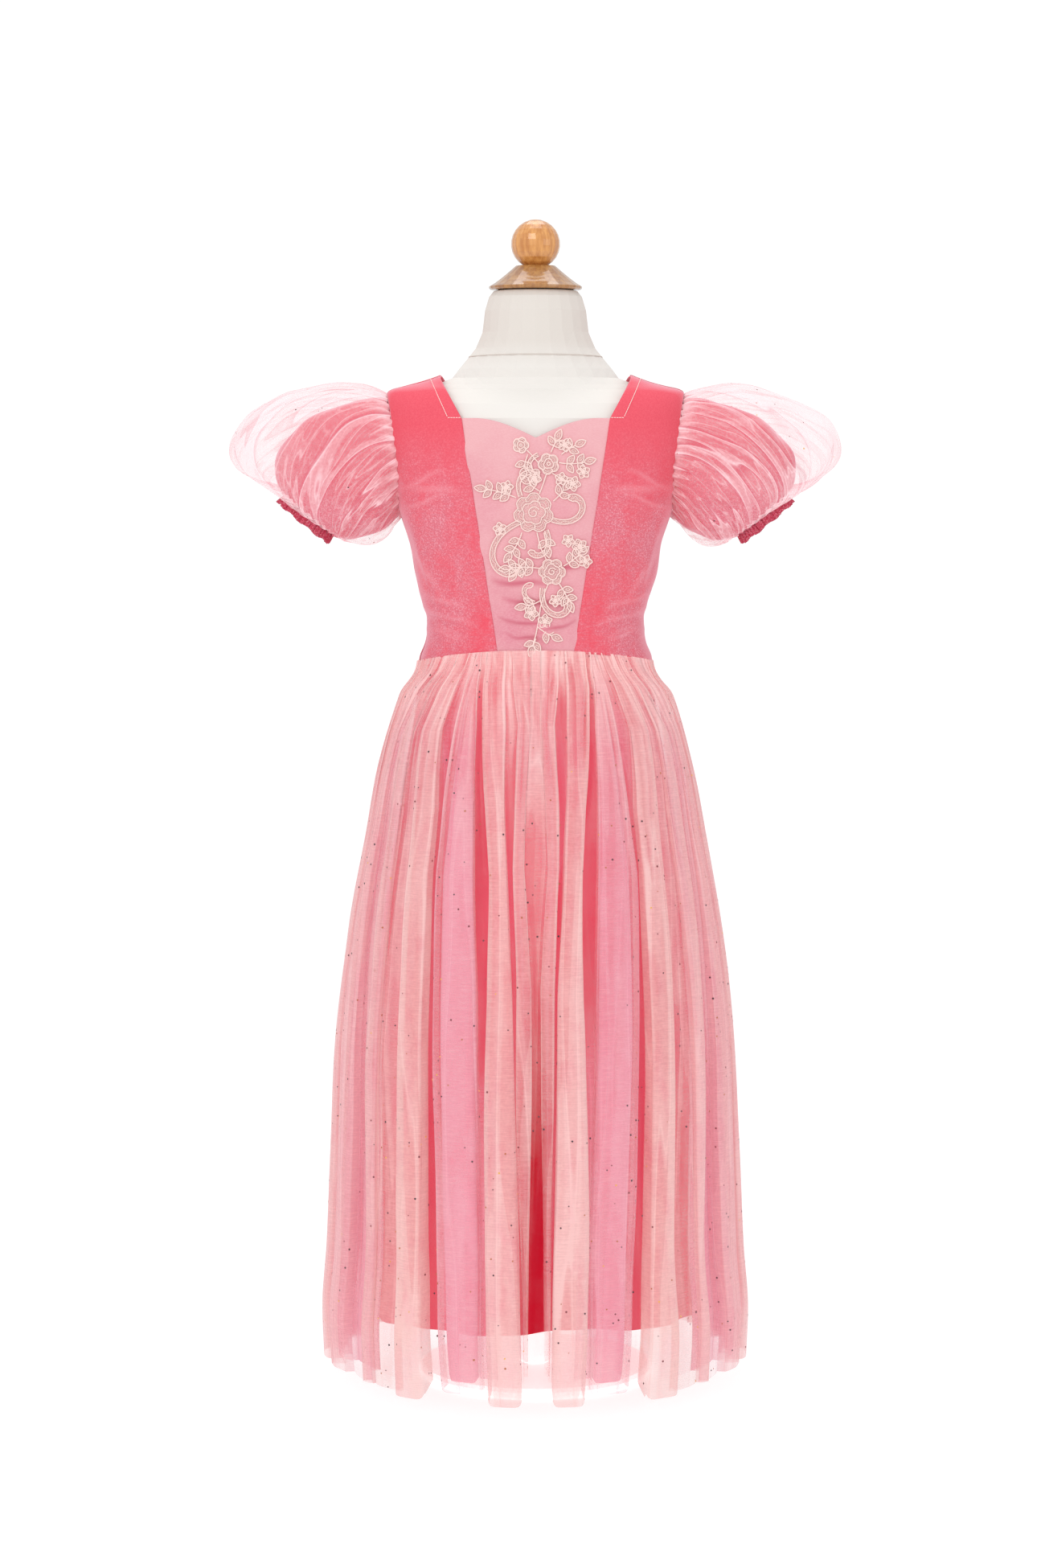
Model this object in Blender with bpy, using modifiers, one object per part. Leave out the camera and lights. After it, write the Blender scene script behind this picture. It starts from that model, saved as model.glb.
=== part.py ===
"""Child's princess costume dress on a limbless dress form, as separate sewn pieces.

Metres, +Z up. The origin is on the floor under the form's pole, the dress faces -Y, and +X is
the viewer's right. Each piece of cloth is a thin wall over one shared body or skirt shape.
"""

import math

import bmesh
import bpy
import numpy as np
from mathutils.geometry import delaunay_2d_cdt

# Cloth walls and the gaps between them
VELVET = 0.0018
SATEEN = 0.0014
NET = 0.0010
LACE = 0.0010
BODY_GAP = 0.0006
FORM_INSET = 0.0030
SEAM_GAP = 0.0006
LACE_GAP = 0.0006

# Heights above the floor
WAIST_FRONT = 0.6575
WAIST_SIDE = 0.6450
ARMPIT = 0.7755
SHOULDER_TIP_X = 0.1302
SHOULDER_NECK_X = 0.0835
NECK_CORNER = 0.8570
SWEETHEART_DIP = 0.8400
BACK_NECK = 0.8620
NECK_TOP = 0.9700

# Armhole, an upright oval on the side of the body
ARMHOLE_DEPTH = 0.043

# Centre front panel, half widths at the waist and at the neckline corner
CENTRE_WAIST = 0.0337
CENTRE_TOP = 0.0642

# Skirt layers
TULLE_HEM = 0.0140
PINK_HEM = 0.0240
UNDER_HEM = 0.0670
GATHERS = 72
GATHER_DEPTH = 0.0028
PINK_INSET = 0.0070
UNDER_INSET = 0.0065
UNDER_FOLDS = 20
UNDER_FOLD_DEPTH = 0.004
TULLE_AT_WAIST = 0.0079
PINK_AT_WAIST = 0.0040
UNDER_AT_WAIST = 0.0020
WAIST_DROP = 0.0012

# Dress form
HIP_BOTTOM = 0.525
POLE_RADIUS = 0.0125
BASE_RADIUS = 0.105
BASE_THICKNESS = 0.010
CAP_RADIUS = 0.0410
CAP_TOP_RADIUS = 0.0175
CAP_HEIGHT = 0.0210
BALL_RADIUS = 0.0216
BALL_SEAT_RADIUS = 0.0108
FIT_GAP = 0.0003

# Body sections from the hips to the neck: half width, depth to the front and to the back, and
# the power of the superellipse, which is 2 for an ellipse and more for a squarer outline.
BODY_COLUMNS = ("z", "width", "front", "back", "power")
BODY = (
    (0.525, 0.062, 0.046, 0.046, 2.0),
    (0.530, 0.080, 0.060, 0.060, 2.1),
    (0.545, 0.094, 0.073, 0.073, 2.2),
    (0.570, 0.1000, 0.0790, 0.0780, 2.25),
    (0.600, 0.1005, 0.0790, 0.0770, 2.3),
    (0.630, 0.1010, 0.0780, 0.0750, 2.3),
    (0.645, 0.1005, 0.0765, 0.0730, 2.3),
    (0.660, 0.0955, 0.0740, 0.0700, 2.3),
    (0.680, 0.0940, 0.0735, 0.0690, 2.3),
    (0.700, 0.0985, 0.0750, 0.0710, 2.4),
    (0.720, 0.1045, 0.0775, 0.0740, 2.5),
    (0.745, 0.1090, 0.0810, 0.0780, 2.6),
    (0.7755, 0.1175, 0.0830, 0.0820, 2.8),
    (0.808, 0.1230, 0.0825, 0.0835, 3.1),
    (0.830, 0.1270, 0.0800, 0.0820, 3.1),
    (0.853, 0.1295, 0.0740, 0.0760, 3.0),
    (0.868, 0.1300, 0.0660, 0.0670, 2.8),
    (0.877, 0.1290, 0.0570, 0.0570, 2.5),
    (0.8810, 0.1240, 0.0510, 0.0500, 2.3),
    (0.8840, 0.1130, 0.0470, 0.0460, 2.2),
    (0.8880, 0.0980, 0.0450, 0.0440, 2.1),
    (0.8930, 0.0830, 0.0445, 0.0435, 2.0),
    (0.8980, 0.0730, 0.0445, 0.0435, 2.0),
    (0.9040, 0.0660, 0.0445, 0.0435, 2.0),
    (0.9100, 0.0600, 0.0445, 0.0435, 2.0),
    (0.9160, 0.0550, 0.0445, 0.0435, 2.0),
    (0.9220, 0.0510, 0.0445, 0.0435, 2.0),
    (0.9330, 0.0468, 0.0445, 0.0435, 2.0),
    (0.9450, 0.0454, 0.0440, 0.0430, 2.0),
    (0.9560, 0.0438, 0.0425, 0.0415, 2.0),
    (0.9640, 0.0410, 0.0400, 0.0390, 2.0),
    (0.9690, 0.0370, 0.0360, 0.0350, 2.0),
    (0.9700, 0.0335, 0.0325, 0.0315, 2.0),
)
FORM_ROWS = (
    0.525, 0.530, 0.545, 0.570, 0.640, 0.665, 0.700, 0.740, 0.785, 0.830, 0.857, 0.870, 0.878,
    0.8825, 0.8870, 0.8930, 0.9010, 0.9100, 0.9190, 0.9330, 0.9520, 0.9640, 0.9690, 0.9700,
)

# Outermost reach of the skirt's folds at each height, and how deep the folds are there
SKIRT_COLUMNS = ("z", "width", "front", "back", "fold")
SKIRT = (
    (0.014, 0.1910, 0.1800, 0.1780, 0.0230),
    (0.061, 0.1930, 0.1810, 0.1790, 0.0225),
    (0.119, 0.1885, 0.1775, 0.1750, 0.0215),
    (0.205, 0.1845, 0.1720, 0.1700, 0.0200),
    (0.320, 0.1785, 0.1630, 0.1610, 0.0175),
    (0.407, 0.1675, 0.1500, 0.1480, 0.0155),
    (0.493, 0.1515, 0.1320, 0.1300, 0.0125),
    (0.551, 0.1405, 0.1190, 0.1165, 0.0095),
    (0.608, 0.1245, 0.1020, 0.0990, 0.0050),
    (0.636, 0.1135, 0.0910, 0.0880, 0.0015),
    (0.660, 0.1010, 0.0800, 0.0770, 0.0000),
)

# Large folds from the centre front to the centre back, the same on both sides: where each one
# is, half its width, how far it stands out of the full depth, and how much its hem lifts in the
# valley before it.
FOLD_COLUMNS = ("angle", "half_width", "height", "hem_lift")
FOLDS = (
    (9.5, 5.6, 1.00, 0.022),
    (22.5, 5.6, 0.72, 0.004),
    (38.5, 5.8, 1.00, 0.006),
    (53.0, 5.4, 0.62, 0.003),
    (67.5, 6.4, 0.90, 0.001),
    (82.5, 6.2, 0.85, 0.003),
    (97.5, 6.2, 0.85, 0.003),
    (112.5, 6.2, 0.80, 0.004),
    (127.5, 6.2, 0.92, 0.003),
    (142.5, 6.2, 0.78, 0.004),
    (157.0, 6.0, 0.95, 0.003),
    (170.5, 5.8, 0.80, 0.008),
)
FOLD_CREST = 0.60
FOLD_FOOT = 1.22

# Shapes of the lace, in millimetres from the middle of the panel and above the waist seam. Stems
# run behind the flowers, and leaves, curls and sprigs grow from them.
ROSE_COLUMNS = ("x", "z", "radius", "petals")
ROSES = (
    (-3, 119, 18.0, 8), (13, 67, 13.0, 7), (-9, 176, 8.5, 5), (11, 163, 9.5, 6), (33, 147, 7.0, 5),
    (39, 80, 8.0, 5), (3, 17, 7.0, 5),
)
LEAF_COLUMNS = ("x", "z", "turn", "length", "width")
LEAVES = (
    (-7, 180, 118, 14, 8), (12, 166, 62, 16, 8), (34, 149, 68, 18, 8), (-6, 154, 150, 16, 9),
    (-30, 139, 118, 14, 8), (-34, 140, 205, 18, 8), (-16, 128, 196, 24, 10), (-14, 118, 214, 24, 10),
    (-6, 104, 222, 24, 10), (0, 104, 260, 20, 9), (4, 68, 158, 25, 10), (4, 62, 205, 24, 9),
    (20, 60, 318, 24, 9), (40, 82, 50, 14, 8), (6, 42, 200, 16, 8), (5, 18, 330, 17, 8),
)
SCROLL_COLUMNS = ("x", "z", "turn", "length", "curl", "width")
SCROLLS = (
    (-4, 118, 96, 60, -6, 3.2), (0, 112, 292, 50, 12, 3.2), (12, 66, 246, 54, 30, 3.2),
    (0, 152, 40, 26, 40, 3.0), (7, 157, 322, 30, 60, 3.0), (-8, 128, 150, 32, 10, 3.0),
    (-13, 130, 118, 40, -230, 4.6), (-14, 108, 208, 66, 200, 5.2), (12, 112, 344, 52, 235, 5.0),
    (8, 102, 300, 34, -200, 4.4), (14, 62, 20, 34, 30, 3.0), (2, 45, 262, 46, 245, 5.2),
)

# Control rings of a sleeve, from the armhole to the cuff, for the side at +X: the ring's middle,
# the way from there to its top, and its depth to the front.
RING_COLUMNS = ("middle", "rise", "depth")
VELVET_RINGS = (
    ((0.150, 0.000, 0.8180), (0.020, 0.000, 0.0590), 0.060),
    ((0.208, -0.002, 0.7935), (0.047, 0.000, 0.0485), 0.052),
    ((0.2000, -0.004, 0.7730), (0.0225, 0.000, 0.0185), 0.0290),
)
TULLE_RINGS = (
    ((0.1645, 0.000, 0.8365), (0.0385, 0.000, 0.0875), 0.082),
    ((0.248, -0.002, 0.7810), (0.098, 0.000, 0.0450), 0.074),
    ((0.2000, -0.0035, 0.7722), (0.0292, 0.000, 0.0240), 0.0377),
)
SLEEVE_START = 0.0031
SLEEVE_GATHERS = 20
SLEEVE_GATHER_DEPTH = 0.0036


def smooth(rows, columns, name, at):
    """The value of a table's column at a height, on a monotone cubic through its rows."""
    heights = np.array([row[0] for row in rows])
    values = np.array([row[columns.index(name)] for row in rows])
    at = float(np.clip(at, heights[0], heights[-1]))
    steps = np.diff(heights)
    rises = np.diff(values) / steps
    slopes = np.concatenate([[rises[0]], (rises[1:] + rises[:-1]) / 2, [rises[-1]]])
    turns = np.concatenate([[False], rises[1:] * rises[:-1] <= 0, [False]])
    slopes[turns] = 0.0
    limit = 3 * np.minimum(
        np.abs(np.concatenate([[rises[0]], rises])), np.abs(np.concatenate([rises, [rises[-1]]]))
    )
    slopes = np.clip(slopes, -limit, limit)
    i = int(np.clip(np.searchsorted(heights, at) - 1, 0, len(steps) - 1))
    t = (at - heights[i]) / steps[i]
    return float(
        values[i] * (1 + 2 * t) * (1 - t) ** 2
        + slopes[i] * steps[i] * t * (1 - t) ** 2
        + values[i + 1] * t * t * (3 - 2 * t)
        + slopes[i + 1] * steps[i] * t * t * (t - 1)
    )


def ease(t):
    """0 to 1 with a soft start and end."""
    t = min(max(t, 0.0), 1.0)
    return t * t * (3 - 2 * t)


def mix(a, b, t):
    return a + (b - a) * t


def superellipse(angle, width, front, back, power):
    """A point of a section, from 0 at the front through a quarter turn at +X to the back."""
    across, along = math.sin(angle), math.cos(angle)
    reach = front if along > 0 else back
    x = math.copysign(abs(across) ** (2 / power), across) * width
    y = -math.copysign(abs(along) ** (2 / power), along) * reach
    return x, y


def body_section(z, out=0.0):
    """Half width, front, back and power of the body at a height, moved out by a distance."""
    lifted = z - out * ease((z - 0.850) / 0.030)
    width, front, back, power = (smooth(BODY, BODY_COLUMNS, n, lifted) for n in BODY_COLUMNS[1:])
    return width + out, front + out, back + out, power


def shoulder_height(x, out=0.0):
    """Height of the shoulder line above a place across the body."""
    low, high = 0.874, 0.925
    for _ in range(40):
        middle = (low + high) / 2
        if body_section(middle, out)[0] > x:
            low = middle
        else:
            high = middle
    return low


def body_point(x, z, out, back=False):
    """The body's surface at a place across and a height, front or back."""
    width, front, behind, power = body_section(z, out)
    q = min(abs(x) / width, 1.0)
    depth = (1 - q**power) ** (1 / power)
    return np.array([x, behind * depth if back else -front * depth, z])


def waist_height(angle):
    """Height of the waist seam, which rises a little at the centre front."""
    return mix(WAIST_SIDE, WAIST_FRONT, max(math.cos(angle), 0.0) ** 1.5)


def armhole_x(z, out, back=False):
    """How far across the armhole's edge lies at a height, on the body's surface."""
    middle, half = armhole_span(out)
    inside = max(1 - ((z - middle) / half) ** 2, 0.0)
    width, front, behind, power = body_section(z, out)
    q = ARMHOLE_DEPTH * math.sqrt(inside) / (behind if back else front)
    return width * (1 - min(q, 1.0) ** power) ** (1 / power)


def armhole_span(out):
    """Middle height and half height of the armhole."""
    top = shoulder_height(SHOULDER_TIP_X, out)
    return (top + ARMPIT) / 2, (top - ARMPIT) / 2


def outer_x(z, out, back=False):
    """The side seam below the armpit, and the armhole's edge above it."""
    if z <= ARMPIT:
        return body_section(z, out)[0]
    return armhole_x(z, out, back)


def centre_edge_x(z):
    """Half width of the centre front panel, then the inner edge of the shoulder strap."""
    if z <= NECK_CORNER:
        return mix(CENTRE_WAIST, CENTRE_TOP, (z - WAIST_FRONT) / (NECK_CORNER - WAIST_FRONT))
    top = shoulder_height(SHOULDER_NECK_X)
    return mix(CENTRE_TOP, SHOULDER_NECK_X, min((z - NECK_CORNER) / (top - NECK_CORNER), 1.0))


def angle_of(x, z, out):
    """The section angle of a place across the body at a height."""
    width, _, _, power = body_section(z, out)
    return math.asin(min((abs(x) / width) ** (power / 2), 1.0))


def x_of(angle, z, out):
    width, _, _, power = body_section(z, out)
    return width * math.sin(angle) ** (2 / power)


def across_row(inner, outer, share, z, height_share, out):
    """A place between two edges: evenly by angle low down, evenly by distance near the shoulder."""
    by_angle = x_of(mix(angle_of(inner, z, out), angle_of(outer, z, out), share), z, out)
    by_distance = mix(inner, outer, share)
    return mix(by_angle, by_distance, ease((height_share - 0.45) / 0.30))


def collection(name):
    made = bpy.data.collections.new(name)
    bpy.context.scene.collection.children.link(made)
    return made


def material(name, colour, roughness, metallic=0.0):
    made = bpy.data.materials.new(name)
    made.use_nodes = True
    shader = made.node_tree.nodes["Principled BSDF"]
    shader.inputs["Base Color"].default_value = (*colour, 1.0)
    shader.inputs["Roughness"].default_value = roughness
    shader.inputs["Metallic"].default_value = metallic
    return made


def place(name, mesh, finish, into):
    made = bpy.data.objects.new(name, mesh)
    into.objects.link(made)
    mesh.materials.append(finish)
    mesh.shade_smooth()
    mesh.set_sharp_from_angle(angle=math.radians(50))
    return made


def solidify(obj, thickness, outward):
    wall = obj.modifiers.new("Wall", "SOLIDIFY")
    wall.thickness = thickness
    wall.offset = 1.0 if outward else -1.0
    wall.use_even_offset = True
    wall.use_rim = True
    return wall


def sheet_mesh(name, rows, closed=False, flip=False, marks=None):
    """An open surface through rows of points. Rows of unlike length are zipped by their marks."""
    bm = bmesh.new()
    lines = [[bm.verts.new(p) for p in row] for row in rows]
    for k in range(len(lines) - 1):
        a, b = lines[k], lines[k + 1]
        if closed:
            a, b = a + a[:1], b + b[:1]
        if len(a) == len(b):
            for i in range(len(a) - 1):
                bm.faces.new((a[i], a[i + 1], b[i + 1], b[i]))
            continue
        along_a = list(marks[k]) + [marks[k][0] + 360]
        along_b = list(marks[k + 1]) + [marks[k + 1][0] + 360]
        i = j = 0
        while i < len(a) - 1 or j < len(b) - 1:
            last_a, last_b = i == len(a) - 1, j == len(b) - 1
            if last_b or (not last_a and along_a[i + 1] <= along_b[j + 1]):
                bm.faces.new((a[i], a[i + 1], b[j]))
                i += 1
            else:
                bm.faces.new((a[i], b[j + 1], b[j]))
                j += 1
    if flip:
        bmesh.ops.reverse_faces(bm, faces=bm.faces)
    bmesh.ops.triangulate(bm, faces=bm.faces, quad_method="SHORT_EDGE")
    mesh = bpy.data.meshes.new(name)
    bm.to_mesh(mesh)
    bm.free()
    return mesh


def side_panel_rows(side):
    """Front side panel with its shoulder strap, from the centre panel's seam to the side seam."""
    columns = 7
    shares = (0, 0.13, 0.26, 0.37, 0.46, 0.553, 0.64, 0.72, 0.79, 0.847, 0.90, 0.95, 0.983, 1.0)
    rows = []
    for t in shares:
        heights = []
        for u in np.linspace(0, 1, columns + 1):
            top = shoulder_height(mix(SHOULDER_NECK_X, SHOULDER_TIP_X, u), BODY_GAP)
            low = waist_height(mix(angle_of(CENTRE_WAIST, WAIST_FRONT, BODY_GAP), math.pi / 2, u))
            heights.append(mix(low, top, t))
        inner = centre_edge_x(heights[0]) + SEAM_GAP / 2
        outer = outer_x(heights[-1], BODY_GAP)
        row = []
        for u, z in zip(np.linspace(0, 1, columns + 1), heights):
            x = across_row(inner, outer, u, z, t, BODY_GAP)
            point = body_point(x, z, BODY_GAP)
            point[1] = min(point[1], -SEAM_GAP / 2)
            row.append(point * (side, 1, 1))
        rows.append(row)
    return rows


def centre_panel_rows():
    """Centre front panel, with the sweetheart neckline along its top."""
    rows = []
    for t in (0, 0.16, 0.32, 0.48, 0.64, 0.80, 0.92, 1.0):
        row = []
        for u in np.linspace(-1, 1, 13):
            x_top = u * CENTRE_TOP
            lobe = math.sin(math.pi / 2 * min(abs(u) / 0.85, 1.0))
            top = mix(SWEETHEART_DIP, NECK_CORNER, lobe)
            low = waist_height(angle_of(u * CENTRE_WAIST, WAIST_FRONT, BODY_GAP))
            z = mix(low, top, t)
            x = u * (centre_edge_x(z) - SEAM_GAP / 2)
            row.append(body_point(x if t < 1 else min(abs(x), abs(x_top)) * np.sign(u), z, BODY_GAP))
        rows.append(row)
    return rows


def back_panel_rows():
    """Whole back in one piece, with a scooped neckline between the shoulder straps."""
    strap = 0.60
    shares = (0, 0.14, 0.28, 0.42, 0.553, 0.66, 0.76, 0.85, 0.92, 0.97, 1.0)
    half = (0.0, 0.20, 0.38, 0.52, strap, 0.73, 0.87, 1.0)
    rows = []
    for t in shares:
        right = []
        tip = shoulder_height(SHOULDER_TIP_X, BODY_GAP)
        outer = outer_x(mix(WAIST_SIDE, tip, t), BODY_GAP, back=True)
        for u in half:
            if u <= strap:
                x_top = SHOULDER_NECK_X * u / strap
                rim = shoulder_height(SHOULDER_NECK_X, BODY_GAP)
                top = mix(BACK_NECK, rim, (u / strap) ** 4)
            else:
                x_top = mix(SHOULDER_NECK_X, SHOULDER_TIP_X, (u - strap) / (1 - strap))
                top = shoulder_height(x_top, BODY_GAP)
            z = mix(WAIST_SIDE, top, t)
            by_angle = x_of(mix(0, angle_of(outer, z, BODY_GAP), u), z, BODY_GAP)
            by_distance = outer * x_top / SHOULDER_TIP_X
            x = mix(by_angle, by_distance, ease((t - 0.40) / 0.35))
            point = body_point(x, z, BODY_GAP, back=True)
            point[1] = max(point[1], SEAM_GAP / 2)
            right.append(point)
        left = [p * (-1, 1, 1) for p in right[:0:-1]]
        rows.append(left + right)
    return rows


def ring(x, z, radius, petals):
    """A flower's outline, with one lobe for each petal."""
    outline = []
    for i in range(3 * petals):
        turn = 2 * math.pi * i / (3 * petals)
        reach = radius * (0.82, 1.0, 1.0)[i % 3]
        outline.append((x + reach * math.cos(turn), z + reach * math.sin(turn)))
    return outline


def leaf(x, z, turn, length, width):
    """A pointed leaf that grows from a place in a direction."""
    ahead = (math.cos(math.radians(turn)), math.sin(math.radians(turn)))
    shape = ((0, 1.5), (0.22, 0.7), (0.5, 1.0), (0.78, 0.6), (1.0, 0.06))
    half = [(along * length, width / 2 * wide if i else wide) for i, (along, wide) in enumerate(shape)]
    outline = half + [(along, -wide) for along, wide in half[::-1]]
    return [
        (x + along * ahead[0] - wide * ahead[1], z + along * ahead[1] + wide * ahead[0])
        for along, wide in outline
    ]


def scroll(x, z, turn, length, curl, width):
    """A stem that curls up tighter towards its round end."""
    steps = 7
    left, right = [], []
    heading = math.radians(turn)
    for i in range(steps + 1):
        t = i / steps
        half = width / 2 * (0.75 + 0.6 * t**3)
        left.append((x - half * math.sin(heading), z + half * math.cos(heading)))
        right.append((x + half * math.sin(heading), z - half * math.cos(heading)))
        x += length / steps * (1.25 - 0.5 * t) * math.cos(heading)
        z += length / steps * (1.25 - 0.5 * t) * math.sin(heading)
        heading += math.radians(curl) / steps * (0.4 + 1.2 * t)
    return right + left[::-1]


def lace_mesh():
    """The lace as one cut-out sheet, laid over the panels and moved out from their surface."""
    outlines = [ring(*row) for row in ROSES] + [leaf(*row) for row in LEAVES]
    outlines += [scroll(*row) for row in SCROLLS]
    points, faces = [], []
    for outline in outlines:
        faces.append(list(range(len(points), len(points) + len(outline))))
        points += outline
    points, _, faces, _, _, _ = delaunay_2d_cdt(points, [], faces, 1, 0.05)
    bm = bmesh.new()
    out = BODY_GAP + VELVET + LACE_GAP
    verts = []
    for x, z in points:
        verts.append(bm.verts.new(body_point(x / 1000, WAIST_FRONT + z / 1000, out)))
    for face in faces:
        bm.faces.new([verts[i] for i in face])
    mesh = bpy.data.meshes.new("lace_applique")
    bm.normal_update()
    if sum(f.normal.y for f in bm.faces) > 0:
        bmesh.ops.reverse_faces(bm, faces=bm.faces)
    bmesh.ops.delete(bm, geom=[v for v in bm.verts if not v.link_faces], context="VERTS")
    bm.to_mesh(mesh)
    bm.free()
    return mesh


def fold_share(degrees):
    """How far out the skirt stands at an angle, from 0 in a valley to 1 on a full fold."""
    degrees = abs((degrees + 180) % 360 - 180)
    share = 0.0
    for angle, half_width, height, _ in FOLDS:
        away = abs(degrees - angle) / half_width
        share = max(share, height * ease((FOLD_FOOT - away) / (FOLD_FOOT - FOLD_CREST)))
    return share


def hem_lift(degrees):
    """How far the hem lifts in the valleys between the folds."""
    degrees = abs((degrees + 180) % 360 - 180)
    lift, last = 0.0, -FOLDS[0][0]
    for angle, half_width, _, rise in FOLDS:
        middle, reach = (angle + last) / 2, (angle - last) / 2
        lift = max(lift, rise * ease(1.25 - 1.25 * abs(degrees - middle) / reach))
        last = angle
    return lift


def skirt_point(degrees, z, inset, fold=True):
    """A point of a skirt layer, inset from the outermost reach of the folds."""
    width, front, back, depth = (smooth(SKIRT, SKIRT_COLUMNS, n, z) for n in SKIRT_COLUMNS[1:])
    if fold:
        inset = inset + depth * (1 - fold_share(degrees))
    else:
        inset = inset + depth
    power = mix(2.0, 2.3, ease((z - 0.35) / 0.30))
    x, y = superellipse(math.radians(degrees), width - inset, front - inset, back - inset, power)
    return np.array([x, y, z])


def waist_point(degrees, z, out):
    """A point just outside the body, where the skirt's layers are sewn together."""
    x, y = superellipse(math.radians(degrees), *body_section(z, out))
    return np.array([x, y, z])


def layer_point(degrees, drop, top_out, inset, hem, fold=True):
    """A point of a skirt layer at a share of the way from the waist seam to the hem."""
    waist = waist_height(math.radians(degrees)) - WAIST_DROP
    z = mix(waist, hem + (hem_lift(degrees) if fold else 0.0), drop)
    hang = ease((waist - z) / 0.030)
    outer = skirt_point(degrees, z, inset, fold)
    if hang >= 1:
        return outer
    return mix(waist_point(degrees, max(z, waist - 0.010), top_out), outer, hang) * (1, 1, 0) + (0, 0, z)


def fold_angles(shares):
    """Angles of the columns that follow the large folds, all round from the centre back."""
    half = sorted(
        angle + share * half_width for angle, half_width, _, _ in FOLDS for share in shares
    )
    return [-180.0] + [-a for a in half[::-1]] + half


def tulle_rows():
    """Outer tulle: fine gathers at the waist that run out into the large folds."""
    angles = fold_angles((-FOLD_FOOT, -FOLD_CREST, 0, FOLD_CREST, FOLD_FOOT))
    fine = [-180 + 360 * i / (2 * GATHERS) for i in range(2 * GATHERS)]
    rows, marks = [], []
    for drop, share in ((0.0, 0.85), (0.016, 0.85), (0.050, 1.0)):
        row = []
        for i, degrees in enumerate(fine):
            depth = GATHER_DEPTH * share * (i % 2)
            row.append(layer_point(degrees, drop, TULLE_AT_WAIST - depth, depth, TULLE_HEM))
        rows.append(row)
        marks.append(fine)
    for drop in (0.12, 0.26, 0.46, 0.70, 1.0):
        rows.append([layer_point(a, drop, TULLE_AT_WAIST, 0.0, TULLE_HEM) for a in angles])
        marks.append(angles)
    return rows, marks


def pink_rows():
    """Pink tulle, one layer further in, on the same folds."""
    angles = fold_angles((-FOLD_FOOT, -FOLD_CREST, FOLD_CREST, FOLD_FOOT))
    rows = [
        [layer_point(a, drop, PINK_AT_WAIST, PINK_INSET, PINK_HEM) for a in angles]
        for drop in (0.0, 0.020, 0.060, 0.16, 0.38, 0.66, 1.0)
    ]
    return rows, [angles] * len(rows)


def under_rows():
    """Underskirt: a plain flared lining skirt with a few soft waves."""
    angles = [-180 + 360 * i / (2 * UNDER_FOLDS) for i in range(2 * UNDER_FOLDS)]
    rows = []
    for drop in (0.0, 0.030, 0.08, 0.22, 0.55, 1.0):
        row = []
        for i, degrees in enumerate(angles):
            wave = UNDER_FOLD_DEPTH * (i % 2) * ease(drop / 0.5)
            inset = PINK_INSET + NET + UNDER_INSET + wave
            row.append(layer_point(degrees, drop, UNDER_AT_WAIST, inset, UNDER_HEM, fold=False))
        rows.append(row)
    return rows, [angles] * len(rows)


def armhole_point(turn, out):
    """The armhole's edge, from 0 at the shoulder through a quarter turn at the front."""
    middle, half = armhole_span(BODY_GAP)
    z = middle + half * math.cos(turn)
    y = -ARMHOLE_DEPTH * math.sin(turn)
    width, front, back, power = body_section(min(z, middle + half), BODY_GAP)
    q = abs(y) / (front if y < 0 else back)
    x = width * (1 - min(q, 1.0) ** power) ** (1 / power)
    swell = 1 + out / ARMHOLE_DEPTH
    return np.array([x, y * swell, middle + (z - middle) * (1 + out / half)])


def sleeve_point(turn, along, rings, start_out, start_x):
    """A point of a puffed sleeve: a Bezier curve through the armhole's edge and three rings."""
    first = armhole_point(turn, start_out) + (start_x, 0, 0)
    points = [first]
    for middle, rise, depth in rings:
        across = np.array([0.0, -depth, 0.0])
        points.append(np.array(middle) + np.array(rise) * math.cos(turn) + across * math.sin(turn))
    back = 1 - along
    weights = (back**3, 3 * back * back * along, 3 * back * along * along, along**3)
    return sum(w * p for w, p in zip(weights, points))


def sleeve_rows(side, rings, columns, shares, start_out, start_x, gather=0.0):
    rows = []
    for along in shares:
        swell = gather * math.sin(math.pi * min(max(along, 0.10), 0.90)) ** 0.7
        row = []
        for i in range(columns):
            turn = 2 * math.pi * i / columns
            point = sleeve_point(turn, along, rings, start_out, start_x)
            inward = sleeve_axis(along) - point
            inward /= np.linalg.norm(inward)
            row.append((point + inward * swell * (i % 2)) * (side, 1, 1))
        rows.append(row)
    return rows


def sleeve_axis(along):
    return mix(np.array([0.126, 0.0, 0.829]), np.array([0.2015, -0.004, 0.770]), along)


def body_form_mesh():
    """The torso and neck: closed sections lofted one above the other, and closed at both ends."""
    bm = bmesh.new()
    columns = 24
    rings = []
    for z in FORM_ROWS:
        section = body_section(z, -FORM_INSET * (1 - ease((z - 0.893) / 0.012)))
        ring = []
        for i in range(columns):
            x, y = superellipse(2 * math.pi * i / columns, *section)
            ring.append(bm.verts.new((x, y, z)))
        rings.append(ring)
    for low, high in zip(rings, rings[1:]):
        for i in range(columns):
            j = (i + 1) % columns
            bm.faces.new((low[i], low[j], high[j], high[i]))
    bm.faces.new(rings[0][::-1])
    bm.faces.new(rings[-1])
    bmesh.ops.recalc_face_normals(bm, faces=bm.faces)
    bmesh.ops.triangulate(bm, faces=bm.faces, quad_method="SHORT_EDGE")
    mesh = bpy.data.meshes.new("form_body")
    bm.to_mesh(mesh)
    bm.free()
    return mesh


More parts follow.
